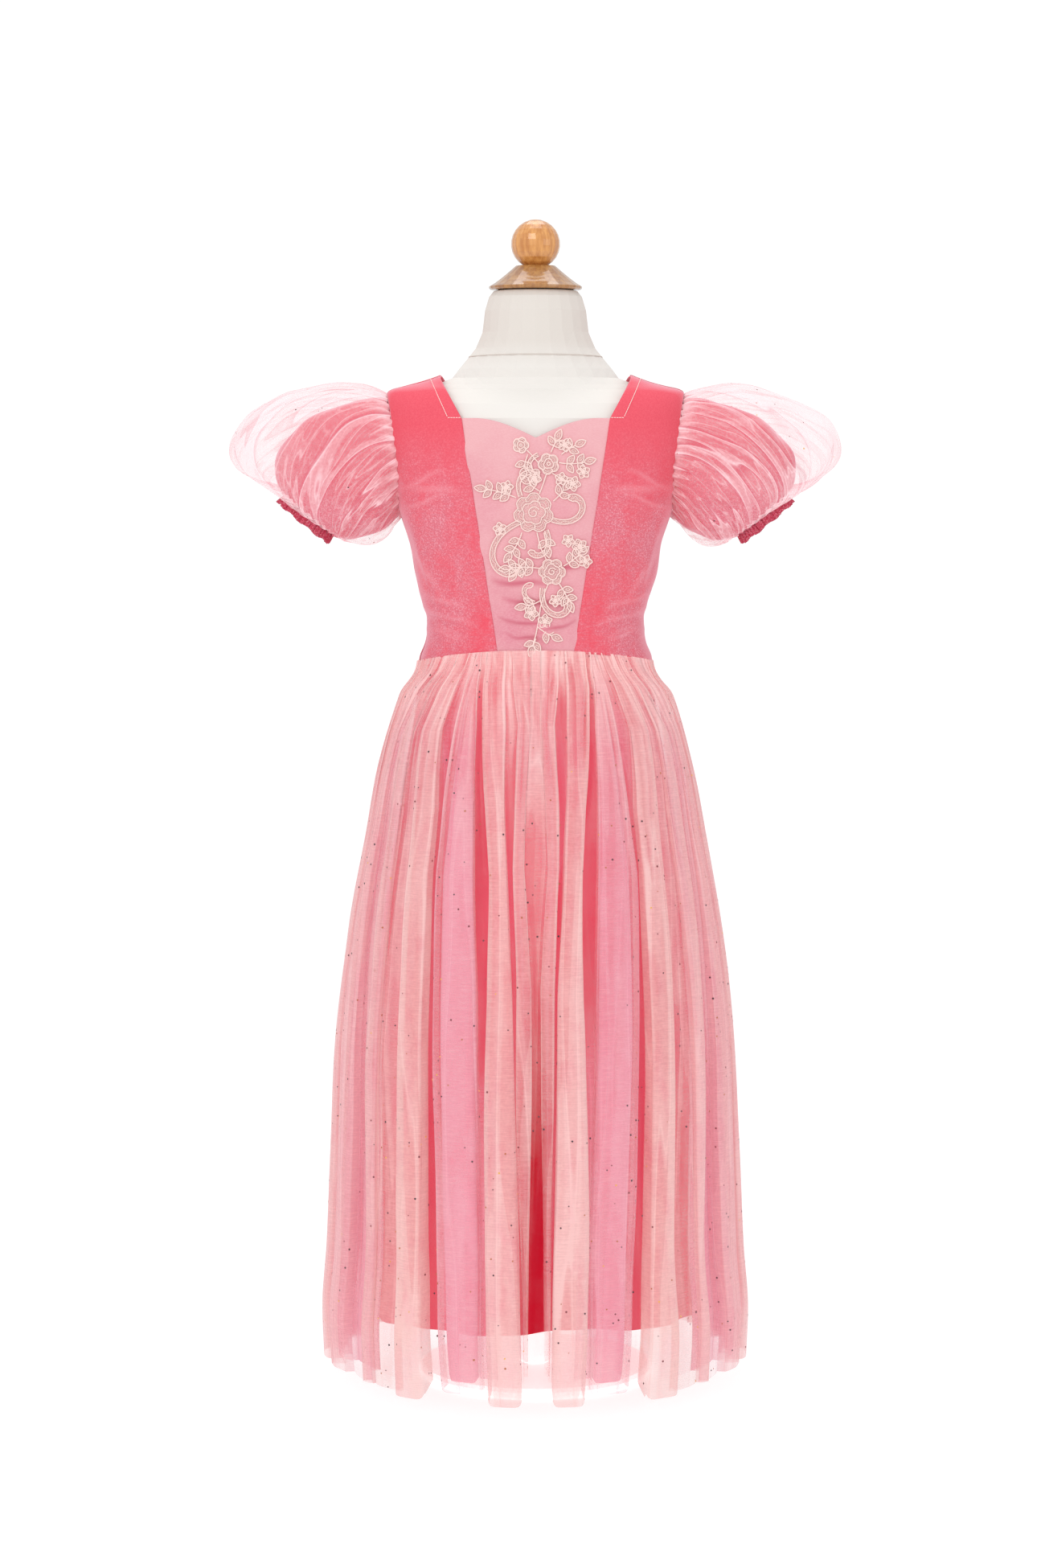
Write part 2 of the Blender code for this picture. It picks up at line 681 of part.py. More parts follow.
def turned(name, profile, finish, into, steps=24):
    """A turned piece from its profile, which runs down its outer side from axis to axis."""
    mesh = bpy.data.meshes.new(name)
    mesh.from_pydata([(r, 0, z) for r, z in profile], [(i, i + 1) for i in range(len(profile) - 1)], [])
    made = bpy.data.objects.new(name, mesh)
    into.objects.link(made)
    mesh.materials.append(finish)
    screw = made.modifiers.new("Turned", "SCREW")
    screw.steps = screw.render_steps = steps
    screw.use_merge_vertices = True
    screw.merge_threshold = 0.00005
    screw.use_smooth_shade = True
    return made


def cap_profile():
    """Ogee neck cap, flat on top where the ball sits and flat beneath."""
    low = NECK_TOP + FIT_GAP
    profile = [(0.0, low + CAP_HEIGHT)]
    for i in range(6):
        t = i / 5
        radius = mix(CAP_TOP_RADIUS, CAP_RADIUS, t)
        profile.append((radius, low + 0.0030 + (CAP_HEIGHT - 0.0030) * (1 - t) ** 1.15))
    return profile + [(CAP_RADIUS, low + 0.0012), (CAP_RADIUS - 0.0015, low), (0.0, low)]


def ball_profile():
    """Round finial, cut flat where it sits on the cap."""
    seat = NECK_TOP + CAP_HEIGHT + 2 * FIT_GAP
    foot = math.acos(BALL_SEAT_RADIUS / BALL_RADIUS)
    middle = seat + BALL_RADIUS * math.sin(foot)
    arc = [math.pi / 2 - (math.pi / 2 + foot) * i / 11 for i in range(12)]
    profile = [(BALL_RADIUS * math.cos(a), middle + BALL_RADIUS * math.sin(a)) for a in arc]
    profile[0] = (0.0, middle + BALL_RADIUS)
    return profile + [(0.0, seat)]


def cylinder(name, radius, low, high, sides, finish, into):
    bm = bmesh.new()
    bmesh.ops.create_cone(
        bm, cap_ends=True, segments=sides, radius1=radius, radius2=radius, depth=high - low
    )
    bmesh.ops.translate(bm, vec=(0, 0, (low + high) / 2), verts=bm.verts)
    mesh = bpy.data.meshes.new(name)
    bm.to_mesh(mesh)
    bm.free()
    return place(name, mesh, finish, into)


def make_form(into, finishes):
    place("form_body", body_form_mesh(), finishes["form_cover"], into)
    turned("neck_cap", cap_profile(), finishes["turned_wood"], into)
    turned("finial_ball", ball_profile(), finishes["turned_wood"], into, steps=20)
    low = BASE_THICKNESS + FIT_GAP
    cylinder("stand_pole", POLE_RADIUS, low, HIP_BOTTOM - FIT_GAP, 16, finishes["white_steel"], into)
    base = cylinder("stand_base", BASE_RADIUS, 0.0, BASE_THICKNESS, 32, finishes["white_steel"], into)
    edge = base.modifiers.new("Edge", "BEVEL")
    edge.width = 0.003
    edge.segments = 1
    edge.limit_method = "ANGLE"


def make_bodice(into, finishes):
    for name, side in (("bodice_side_right", 1), ("bodice_side_left", -1)):
        mesh = sheet_mesh(name, side_panel_rows(side), flip=side < 0)
        solidify(place(name, mesh, finishes["coral_velvet"], into), VELVET, True)
    mesh = sheet_mesh("bodice_centre", centre_panel_rows())
    solidify(place("bodice_centre", mesh, finishes["pink_sateen"], into), SATEEN, True)
    mesh = sheet_mesh("bodice_back", back_panel_rows(), flip=True)
    solidify(place("bodice_back", mesh, finishes["coral_velvet"], into), VELVET, True)


def make_lace(into, finishes):
    piece = place("lace_applique", lace_mesh(), finishes["ivory_lace"], into)
    solidify(piece, LACE, True)


def make_skirt(into, finishes):
    layers = (
        ("skirt_tulle", tulle_rows, "salmon_tulle"),
        ("skirt_pink", pink_rows, "pink_tulle"),
        ("underskirt", under_rows, "coral_lining"),
    )
    for name, make_rows, finish in layers:
        rows, marks = make_rows()
        mesh = sheet_mesh(name, rows, closed=True, flip=True, marks=marks)
        solidify(place(name, mesh, finishes[finish], into), NET, False)


def make_sleeves(into, finishes):
    velvet_shares = (0.0, 0.15, 0.38, 0.62, 0.85, 1.0)
    tulle_shares = (0.0, 0.09, 0.27, 0.50, 0.73, 0.92, 1.0)
    for name, side in (("right", 1), ("left", -1)):
        rows = sleeve_rows(side, VELVET_RINGS, 24, velvet_shares, 0.0, SLEEVE_START)
        mesh = sheet_mesh(f"sleeve_velvet_{name}", rows, closed=True, flip=side < 0)
        solidify(place(mesh.name, mesh, finishes["coral_velvet"], into), VELVET * 0.7, True)
        rows = sleeve_rows(
            side, TULLE_RINGS, 2 * SLEEVE_GATHERS, tulle_shares, 0.0056, SLEEVE_START, SLEEVE_GATHER_DEPTH
        )
        mesh = sheet_mesh(f"sleeve_tulle_{name}", rows, closed=True, flip=side < 0)
        solidify(place(mesh.name, mesh, finishes["salmon_tulle"], into), NET, False)


def main():
    for old in list(bpy.data.objects):
        bpy.data.objects.remove(old)
    into = collection("princess_dress_on_form")
    finishes = {
        "coral_velvet": material("coral_velvet", (0.86, 0.13, 0.17), 0.7),
        "pink_sateen": material("pink_sateen", (0.87, 0.38, 0.42), 0.5),
        "salmon_tulle": material("salmon_tulle", (0.93, 0.50, 0.48), 0.8),
        "pink_tulle": material("pink_tulle", (0.94, 0.38, 0.50), 0.8),
        "coral_lining": material("coral_lining", (0.82, 0.11, 0.16), 0.7),
        "ivory_lace": material("ivory_lace", (0.93, 0.80, 0.74), 0.8),
        "form_cover": material("form_cover", (0.87, 0.84, 0.81), 0.9),
        "turned_wood": material("turned_wood", (0.62, 0.32, 0.09), 0.3),
        "white_steel": material("white_steel", (0.88, 0.88, 0.87), 0.4),
    }
    make_form(into, finishes)
    make_bodice(into, finishes)
    make_lace(into, finishes)
    make_skirt(into, finishes)
    make_sleeves(into, finishes)


main()
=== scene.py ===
"""The princess dress on its form: soft cloth, net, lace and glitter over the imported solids."""

import math

import bpy
import numpy as np
from mathutils.geometry import delaunay_2d_cdt
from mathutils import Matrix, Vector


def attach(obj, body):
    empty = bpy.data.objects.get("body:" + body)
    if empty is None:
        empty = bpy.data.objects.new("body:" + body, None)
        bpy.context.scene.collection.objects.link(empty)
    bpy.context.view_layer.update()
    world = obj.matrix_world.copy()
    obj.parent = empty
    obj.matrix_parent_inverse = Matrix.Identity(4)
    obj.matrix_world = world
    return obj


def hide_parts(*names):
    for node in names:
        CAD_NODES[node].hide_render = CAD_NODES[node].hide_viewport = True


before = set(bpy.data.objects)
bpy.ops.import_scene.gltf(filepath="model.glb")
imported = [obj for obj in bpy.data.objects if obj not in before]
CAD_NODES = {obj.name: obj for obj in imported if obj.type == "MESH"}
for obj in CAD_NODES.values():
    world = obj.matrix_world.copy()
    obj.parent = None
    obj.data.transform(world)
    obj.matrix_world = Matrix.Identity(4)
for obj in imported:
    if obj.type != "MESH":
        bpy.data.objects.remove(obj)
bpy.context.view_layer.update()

VELVET_OUT = 0.0024
SATEEN_OUT = 0.0015
LACE_OUT = 0.0032

WAIST_FRONT = 0.6575
WAIST_SIDE = 0.6450
ARMPIT = 0.7755
SHOULDER_TIP_X = 0.1302
SHOULDER_NECK_X = 0.0835
NECK_CORNER = 0.8570
SWEETHEART_DIP = 0.8400
BACK_NECK = 0.8620
ARMHOLE_DEPTH = 0.043
CENTRE_WAIST = 0.0337
CENTRE_TOP = 0.0642
PANEL_TUCK = 0.003
SKIRT_UNDER_WAIST = 0.0012
WAIST_RADIUS = 0.085

# The form: height, half width, front, back and the power of its rounded section
BODY = np.array((
    (0.525, 0.062, 0.046, 0.046, 2.0),
    (0.545, 0.094, 0.073, 0.073, 2.2),
    (0.570, 0.1000, 0.0790, 0.0780, 2.25),
    (0.600, 0.1005, 0.0790, 0.0770, 2.3),
    (0.630, 0.1010, 0.0780, 0.0750, 2.3),
    (0.645, 0.1005, 0.0765, 0.0730, 2.3),
    (0.660, 0.0955, 0.0740, 0.0700, 2.3),
    (0.680, 0.0940, 0.0735, 0.0690, 2.3),
    (0.700, 0.0985, 0.0750, 0.0710, 2.4),
    (0.720, 0.1045, 0.0775, 0.0740, 2.5),
    (0.745, 0.1090, 0.0810, 0.0780, 2.6),
    (0.7755, 0.1175, 0.0830, 0.0820, 2.8),
    (0.808, 0.1230, 0.0825, 0.0835, 3.1),
    (0.830, 0.1270, 0.0800, 0.0820, 3.1),
    (0.853, 0.1295, 0.0740, 0.0760, 3.0),
    (0.868, 0.1300, 0.0660, 0.0670, 2.8),
    (0.877, 0.1290, 0.0570, 0.0570, 2.5),
    (0.8810, 0.1240, 0.0510, 0.0500, 2.3),
    (0.8840, 0.1130, 0.0470, 0.0460, 2.2),
    (0.8880, 0.0980, 0.0450, 0.0440, 2.1),
    (0.8930, 0.0830, 0.0445, 0.0435, 2.0),
    (0.8980, 0.0730, 0.0445, 0.0435, 2.0),
    (0.9040, 0.0660, 0.0445, 0.0435, 2.0),
    (0.9100, 0.0600, 0.0445, 0.0435, 2.0),
    (0.9160, 0.0550, 0.0445, 0.0435, 2.0),
    (0.9220, 0.0510, 0.0445, 0.0435, 2.0),
    (0.9330, 0.0468, 0.0445, 0.0435, 2.0),
))

# The skirt: height, half width, front, back and the depth of its folds
SKIRT = np.array((
    (0.014, 0.1910, 0.1800, 0.1780, 0.0230),
    (0.061, 0.1930, 0.1810, 0.1790, 0.0225),
    (0.119, 0.1885, 0.1775, 0.1750, 0.0215),
    (0.205, 0.1845, 0.1720, 0.1700, 0.0200),
    (0.320, 0.1785, 0.1630, 0.1610, 0.0175),
    (0.407, 0.1675, 0.1500, 0.1480, 0.0155),
    (0.493, 0.1515, 0.1320, 0.1300, 0.0125),
    (0.551, 0.1405, 0.1190, 0.1165, 0.0095),
    (0.608, 0.1245, 0.1020, 0.0990, 0.0050),
    (0.636, 0.1135, 0.0910, 0.0880, 0.0015),
    (0.660, 0.1010, 0.0800, 0.0770, 0.0000),
))

# Strips of the gathered net on the viewer's right, from the centre front to the centre back. Each has
# its outer edge in degrees at the heights below, how far out it stands, how double the outer net lies
# on it and how full the pink net is behind it, high up, in the middle and low, and its hem's lift.
STRIP_HEIGHTS = (0.650, 0.588, 0.520, 0.464, 0.359, 0.2515, 0.1436, 0.0225)
STRIPS = (
    ((1.4, 1.2, 2.6, 3.3, 1.0, 1.5, 2.1, 2.4),
     (0.90, 0.35, 0.00), (0.80, 0.34, 0.00), (0.3, 0.1, 0.0), 0.030),
    ((9.0, 5.5, 6.5, 6.9, 5.7, 5.2, 4.2, 3.6),
     (0.95, 0.80, 0.40), (0.80, 0.75, 0.42), (0.3, 0.2, 0.1), 0.024),
    ((11.8, 9.6, 9.0, 8.2, 6.6, 5.9, 4.8, 4.0),
     (0.35, 0.05, 0.20), (0.40, 0.02, 0.12), (0.2, 0.1, 0.1), 0.018),
    ((21.3, 18.6, 15.9, 14.4, 13.7, 14.2, 14.0, 12.9),
     (0.95, 1.00, 1.00), (0.82, 0.88, 0.92), (0.2, 0.1, 0.1), 0.0),
    ((24.4, 21.0, 20.0, 19.4, 17.8, 16.6, 15.2, 14.4),
     (0.25, 0.10, 0.35), (0.25, 0.02, 0.25), (0.1, 0.1, 0.7), 0.010),
    ((27.5, 30.5, 32.3, 33.6, 32.0, 29.9, 28.3, 26.0),
     (0.80, 0.80, 0.80), (0.55, 0.35, 0.40), (0.6, 1.0, 1.0), 0.008),
    ((31.0, 37.0, 35.2, 36.3, 35.1, 33.9, 33.0, 30.6),
     (0.35, 0.05, 0.05), (0.35, 0.02, 0.02), (0.5, 0.1, 0.0), 0.012),
    ((38.0, 47.0, 46.0, 45.5, 44.0, 42.3, 40.8, 40.4),
     (0.90, 0.95, 1.00), (0.85, 0.90, 0.95), (0.2, 0.1, 0.0), 0.0),
    ((43.0, 53.5, 53.0, 54.0, 53.0, 52.7, 51.7, 51.3),
     (0.65, 0.45, 0.50), (0.64, 0.42, 0.56), (0.3, 0.2, 0.1), 0.001),
    ((47.5, 60.0, 60.5, 61.0, 58.5, 57.0, 55.0, 55.0),
     (0.90, 0.85, 0.75), (0.85, 0.78, 0.78), (0.3, 0.3, 0.3), 0.004),
    ((53.0, 66.0, 67.5, 68.5, 66.0, 64.5, 65.0, 65.8),
     (0.70, 0.45, 0.30), (0.75, 0.45, 0.30), (0.4, 0.5, 1.0), 0.000),
    ((66.0, 75.5, 77.0, 77.5, 77.5, 77.5, 78.0, 78.0),
     (0.90, 0.90, 0.85), (0.85, 0.80, 0.75), (0.4, 0.4, 0.5), 0.004),
    ((71.0, 80.0, 81.5, 82.0, 82.0, 82.5, 83.0, 83.0),
     (0.50, 0.35, 0.25), (0.60, 0.45, 0.35), (0.3, 0.3, 0.6), 0.000),
    ((83.0, 91.0, 93.0, 94.0, 95.0, 95.0, 95.0, 95.0),
     (0.95, 0.95, 0.95), (0.85, 0.85, 0.88), (0.3, 0.3, 0.3), 0.003),
    ((87.5, 95.0, 97.0, 98.0, 99.0, 99.0, 99.0, 99.0),
     (0.40, 0.15, 0.15), (0.40, 0.15, 0.15), (0.2, 0.2, 0.2), 0.002),
    ((97.0, 104.0, 107.0, 108.5, 109.0, 109.0, 109.0, 109.0),
     (0.75, 0.75, 0.75), (0.55, 0.40, 0.38), (0.5, 0.9, 1.0), 0.004),
    ((102.0, 109.0, 111.5, 112.5, 113.0, 113.5, 113.5, 113.0),
     (0.35, 0.10, 0.10), (0.40, 0.12, 0.12), (0.2, 0.1, 0.0), 0.003),
    ((112.0, 118.0, 120.5, 122.0, 122.5, 122.5, 123.0, 123.0),
     (0.95, 1.00, 1.00), (0.85, 0.88, 0.92), (0.2, 0.1, 0.1), 0.0),
    ((117.5, 123.5, 126.0, 127.0, 127.5, 127.0, 127.0, 127.0),
     (0.55, 0.45, 0.45), (0.60, 0.48, 0.45), (0.3, 0.2, 0.2), 0.007),
    ((127.0, 132.5, 134.5, 135.5, 136.0, 136.5, 136.5, 136.0),
     (0.85, 0.85, 0.80), (0.80, 0.72, 0.72), (0.3, 0.3, 0.3), 0.004),
    ((132.0, 137.0, 139.5, 140.0, 140.5, 140.5, 140.5, 140.0),
     (0.35, 0.10, 0.10), (0.40, 0.10, 0.12), (0.2, 0.1, 0.1), 0.012),
    ((141.5, 146.0, 149.0, 150.5, 150.5, 150.0, 150.0, 150.0),
     (0.75, 0.80, 0.80), (0.55, 0.38, 0.38), (0.5, 1.0, 1.0), 0.007),
    ((146.0, 150.5, 152.5, 153.5, 154.0, 154.0, 153.5, 153.5),
     (0.30, 0.10, 0.15), (0.35, 0.12, 0.15), (0.2, 0.1, 0.1), 0.010),
    ((156.5, 160.0, 162.0, 163.0, 163.0, 163.5, 163.5, 163.0),
     (0.95, 1.00, 1.00), (0.85, 0.88, 0.92), (0.2, 0.1, 0.1), 0.0),
    ((161.5, 164.5, 166.0, 166.5, 167.0, 167.0, 167.0, 167.0),
     (0.45, 0.20, 0.20), (0.45, 0.20, 0.25), (0.3, 0.2, 0.2), 0.012),
    ((172.0, 174.0, 175.0, 175.5, 176.0, 176.0, 176.0, 176.0),
     (0.90, 0.90, 0.90), (0.82, 0.80, 0.82), (0.3, 0.2, 0.2), 0.004),
    ((180.0, 180.0, 180.0, 180.0, 180.0, 180.0, 180.0, 180.0),
     (0.60, 0.40, 0.35), (0.65, 0.45, 0.40), (0.3, 0.2, 0.2), 0.012),
)

# The rings that a puff follows from the armhole to the cuff: middle, rise and depth
VELVET_RINGS = (
    ((0.150, 0.000, 0.8180), (0.020, 0.000, 0.0590), 0.060),
    ((0.208, -0.002, 0.7935), (0.047, 0.000, 0.0485), 0.052),
    ((0.2000, -0.004, 0.7730), (0.0225, 0.000, 0.0185), 0.0290),
)
TULLE_RINGS = (
    ((0.1645, 0.000, 0.8365), (0.0385, 0.000, 0.0875), 0.082),
    ((0.248, -0.002, 0.7810), (0.098, 0.000, 0.0450), 0.074),
    ((0.2000, -0.0035, 0.7722), (0.0292, 0.000, 0.0240), 0.0377),
)

# Lace, in millimetres from the middle of the panel and above the waist seam.
# Roses: x, z, radius, petals and spin
ROSES = (
    (-2, 118, 17.0, 7, 0.2), (14, 67, 11.5, 6, 0.5), (11, 160, 9.0, 5, 0.1), (-13, 176, 6.8, 5, 0.6),
)
# Sprigs: x, z, turn, length, pairs of leaflets and bend
SPRIGS = (
    (-17, 131, 158, 27, 3, 14), (-12, 101, 252, 20, 2, -20), (7, 101, 282, 12, 1, 0),
    (20, 161, 350, 22, 2, 24),
    (13, 170, 66, 11, 1, 0), (3, 70, 172, 25, 3, 16), (24, 72, 30, 17, 2, 12), (20, 57, 305, 18, 2, -14),
    (-7, 168, 250, 12, 1, 10), (2, 19, 318, 14, 1, 20), (4, 42, 210, 13, 1, -20), (0, 9, 250, 6, 1, 0),
    (-9, 76, 222, 12, 1, 12), (22, 168, 40, 14, 1, -16), (4, 136, 150, 12, 1, -12), (15, 128, 40, 13, 1, 14),
)
# Scrolls: x, z, turn, length, curl and width
SCROLLS = (
    (-13, 132, 112, 36, -235, 4.2), (-14, 110, 205, 66, 190, 5.2), (14, 112, 342, 48, 240, 5.0),
    (9, 103, 292, 34, -190, 4.2), (6, 53, 262, 48, 250, 5.2), (2, 168, 205, 24, 215, 3.8),
    (-1, 40, 160, 24, -200, 3.8),
)
# Blossoms: x, z and radius
BLOSSOMS = (
    (32, 143, 6.8), (41, 153, 6.0), (38, 89, 6.8), (43, 76, 6.0), (-4, 31, 6.6), (8, 24, 6.4), (22, 147, 5.8),
    (-31, 104, 6.0), (25, 176, 6.0), (28, 94, 5.8), (-1, 148, 6.2), (17, 42, 5.6), (-25, 140, 5.8),
)
STEMS = (
    ((-3, 2), (0, 12), (2, 22), (4, 36), (8, 50), (11, 57)), ((9, 78), (4, 88), (1, 101)),
    ((3, 134), (6, 142), (9, 151)), ((3, 160), (-4, 168), (-8, 172)), ((14, 152), (22, 147), (32, 143)),
)


def ease(t):
    t = np.clip(t, 0.0, 1.0)
    return t * t * (3 - 2 * t)


def mix(a, b, t):
    return a + (b - a) * t


def smooth(rows, column, at):
    """Values of a table's column at some heights, on a monotone cubic through its rows."""
    xs, ys = rows[:, 0], rows[:, column]
    at = np.clip(np.asarray(at, float), xs[0], xs[-1])
    step = np.diff(xs)
    rise = np.diff(ys) / step
    slope = np.concatenate([[rise[0]], (rise[1:] + rise[:-1]) / 2, [rise[-1]]])
    slope[np.concatenate([[False], rise[1:] * rise[:-1] <= 0, [False]])] = 0.0
    limit = 3 * np.minimum(np.abs(np.append(rise[0], rise)), np.abs(np.append(rise, rise[-1])))
    slope = np.clip(slope, -limit, limit)
    i = np.clip(np.searchsorted(xs, at) - 1, 0, len(step) - 1)
    t = (at - xs[i]) / step[i]
    return (
        ys[i] * (1 + 2 * t) * (1 - t) ** 2
        + slope[i] * step[i] * t * (1 - t) ** 2
        + ys[i + 1] * t * t * (3 - 2 * t)
        + slope[i + 1] * step[i] * t * t * (t - 1)
    )


def columns_at(rows, at):
    """A table's columns after the first, at some heights."""
    return [smooth(rows, column, at) for column in range(1, rows.shape[1])]


def body_section(z, out=0.0):
    lifted = z - out * ease((z - 0.850) / 0.030)
    width, front, back, power = columns_at(BODY, lifted)
    return width + out, front + out, back + out, power


def superellipse(angle, width, front, back, power):
    across, along = np.sin(angle), np.cos(angle)
    reach = np.where(along > 0, front, back)
    x = np.sign(across) * np.abs(across) ** (2 / power) * width
    y = -np.sign(along) * np.abs(along) ** (2 / power) * reach
    return x, y


def shoulder_height(x, out=0.0):
    x = np.asarray(x, float)
    low, high = np.full(x.shape, 0.874), np.full(x.shape, 0.925)
    for _ in range(40):
        middle = (low + high) / 2
        inside = body_section(middle, out)[0] > x
        low, high = np.where(inside, middle, low), np.where(inside, high, middle)
    return low


def body_point(x, z, out, back=False):
    width, front, behind, power = body_section(z, out)
    q = np.minimum(np.abs(x) / width, 1.0)
    depth = (1 - q**power) ** (1 / power)
    return np.stack([x, behind * depth if back else -front * depth, z], -1)


def waist_height(angle):
    return mix(WAIST_SIDE, WAIST_FRONT, np.maximum(np.cos(angle), 0.0) ** 1.5)


def outer_x(z, out, back=False):
    """The side seam below the armpit, and the armhole's edge above it."""
    width, front, behind, power = body_section(z, out)
    if z <= ARMPIT:
        return width
    top = shoulder_height(SHOULDER_TIP_X, out)
    middle, half = (top + ARMPIT) / 2, (top - ARMPIT) / 2
    inside = max(1 - ((z - middle) / half) ** 2, 0.0)
    q = ARMHOLE_DEPTH * math.sqrt(inside) / (behind if back else front)
    return width * (1 - min(q, 1.0) ** power) ** (1 / power)


def centre_edge_x(z):
    low = mix(CENTRE_WAIST, CENTRE_TOP, (z - WAIST_FRONT) / (NECK_CORNER - WAIST_FRONT))
    share = (z - NECK_CORNER) / (shoulder_height(SHOULDER_NECK_X) - NECK_CORNER)
    high = mix(CENTRE_TOP, SHOULDER_NECK_X, np.minimum(share, 1.0))
    return np.where(z <= NECK_CORNER, low, high)


def angle_of(x, z, out):
    width, _, _, power = body_section(z, out)
    return np.arcsin(np.minimum((np.abs(x) / width) ** (power / 2), 1.0))


def x_of(angle, z, out):
    width, _, _, power = body_section(z, out)
    return width * np.sin(angle) ** (2 / power)


def across_row(inner, outer, share, z, height_share, out):
    by_angle = x_of(mix(angle_of(inner, z, out), angle_of(outer, z, out), share), z, out)
    return mix(by_angle, mix(inner, outer, share), ease((height_share - 0.45) / 0.30))


def waves(points, count, length, seed):
    """Soft uneven noise from -1 to 1: a sum of plane waves of about one length."""
    rng = np.random.default_rng(seed)
    total = np.zeros(points.shape[:-1])
    for _ in range(count):
        way = rng.normal(size=3)
        way /= np.linalg.norm(way)
        total += np.sin(points @ way * 2 * math.pi / (length * rng.uniform(0.6, 1.6)) + rng.uniform(0, 7))
    return total / math.sqrt(count)


def normals_of(grid, closed=False):
    """Normals of a grid of points, by its rows and columns."""
    if closed:
        wide = np.concatenate([grid[:, -1:], grid, grid[:, :1]], 1)
        across = wide[:, 2:] - wide[:, :-2]
    else:
        across = np.gradient(grid, axis=1)
    up = np.gradient(grid, axis=0)
    normal = np.cross(across, up)
    return normal / np.maximum(np.linalg.norm(normal, axis=-1, keepdims=True), 1e-12)


def off_line(x, z, ends):
    """How far along a line between two places each point lies, and how far off it in x and z."""
    x0, z0, x1, z1 = ends
    dx, dz = x1 - x0, z1 - z0
    t = np.clip(((x - x0) * dx + (z - z0) * dz) / (dx * dx + dz * dz), 0, 1)
    return t, x - x0 - t * dx, z - z0 - t * dz


def creased(grid, creases):
    """Moves a grid along its normals by soft ridges and troughs between pairs of places."""
    lift = np.zeros(grid.shape[:2])
    for *ends, width, height in creases:
        t, off_x, off_z = off_line(grid[..., 0], grid[..., 2], ends)
        away = np.hypot(off_x, off_z)
        lift += height * np.exp(-((away / width) ** 2)) * np.sin(math.pi * (0.12 + 0.8 * t)) ** 0.8
    return grid + normals_of(grid) * lift[..., None]


def crease_shade(grid, creases):
    """How strongly a crease shows at each point of a grid, from 0 to 1: the mask for the painted highlight
    along the velvet's creases and the painted shade along the sateen's.
    """
    x = np.abs(grid[..., 0]) if creases is CREASES else grid[..., 0]
    shade = np.zeros(x.shape)
    for *ends, width, _ in creases:
        t, off_x, off_z = off_line(x, grid[..., 2], ends)
        away = np.hypot(off_x, off_z + 0.002 * np.sin(6 * t))
        shade = np.maximum(shade, np.exp(-((away / (0.55 * width)) ** 2)) * np.sin(math.pi * t) ** 0.6)
    return shade


def cloth(name, grid, finish, closed=False, flip=False, values=None, thick=0.0):
    """A sheet of cloth through a grid of points, with values at its points for the material."""
    rows, columns = grid.shape[:2]
    at = np.arange(rows * columns).reshape(rows, columns)
    if closed:
        at = np.concatenate([at, at[:, :1]], 1)
    quads = np.stack([at[:-1, :-1], at[:-1, 1:], at[1:, 1:], at[1:, :-1]], -1).reshape(-1, 4)
    if flip:
        quads = quads[:, ::-1]
    mesh = bpy.data.meshes.new(name)
    mesh.vertices.add(rows * columns)
    mesh.vertices.foreach_set("co", grid.reshape(-1))
    mesh.loops.add(quads.size)
    mesh.loops.foreach_set("vertex_index", quads.reshape(-1))
    mesh.polygons.add(len(quads))
    mesh.polygons.foreach_set("loop_start", np.arange(0, quads.size, 4))
    mesh.update(calc_edges=True)
    for label, field in (values or {}).items():
        kind, key = ("FLOAT_VECTOR", "vector") if field.ndim == 3 else ("FLOAT", "value")
        layer = mesh.attributes.new(label, kind, "POINT")
        layer.data.foreach_set(key, np.ascontiguousarray(field, np.float32).reshape(-1))
    mesh.shade_smooth()
    made = bpy.data.objects.new(name, mesh)
    bpy.context.scene.collection.objects.link(made)
    mesh.materials.append(finish)
    if thick:
        wall = made.modifiers.new("Thickness", "SOLIDIFY")
        wall.thickness = thick
        wall.offset = -1.0
        made = plain(made)
    return made


def plain(obj):
    """The object with its modifiers made into a plain mesh."""
    deps = bpy.context.evaluated_depsgraph_get()
    mesh = bpy.data.meshes.new_from_object(obj.evaluated_get(deps), depsgraph=deps)
    obj.modifiers.clear()
    obj.data = mesh
    return obj


def fitted(piece, node=None):
    """Joins a piece to the frame, in the place of a solid where it stands for one."""
    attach(piece, "root")
    if node:
        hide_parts(node)
    return piece


# Materials

WHITE = (1.0, 1.0, 1.0)


def colour(text):
    """A linear colour from the six-digit code of a paint chart."""
    parts = [int(text[i : i + 2], 16) / 255 for i in (0, 2, 4)]
    return tuple(p / 12.92 if p <= 0.04045 else ((p + 0.055) / 1.055) ** 2.4 for p in parts)


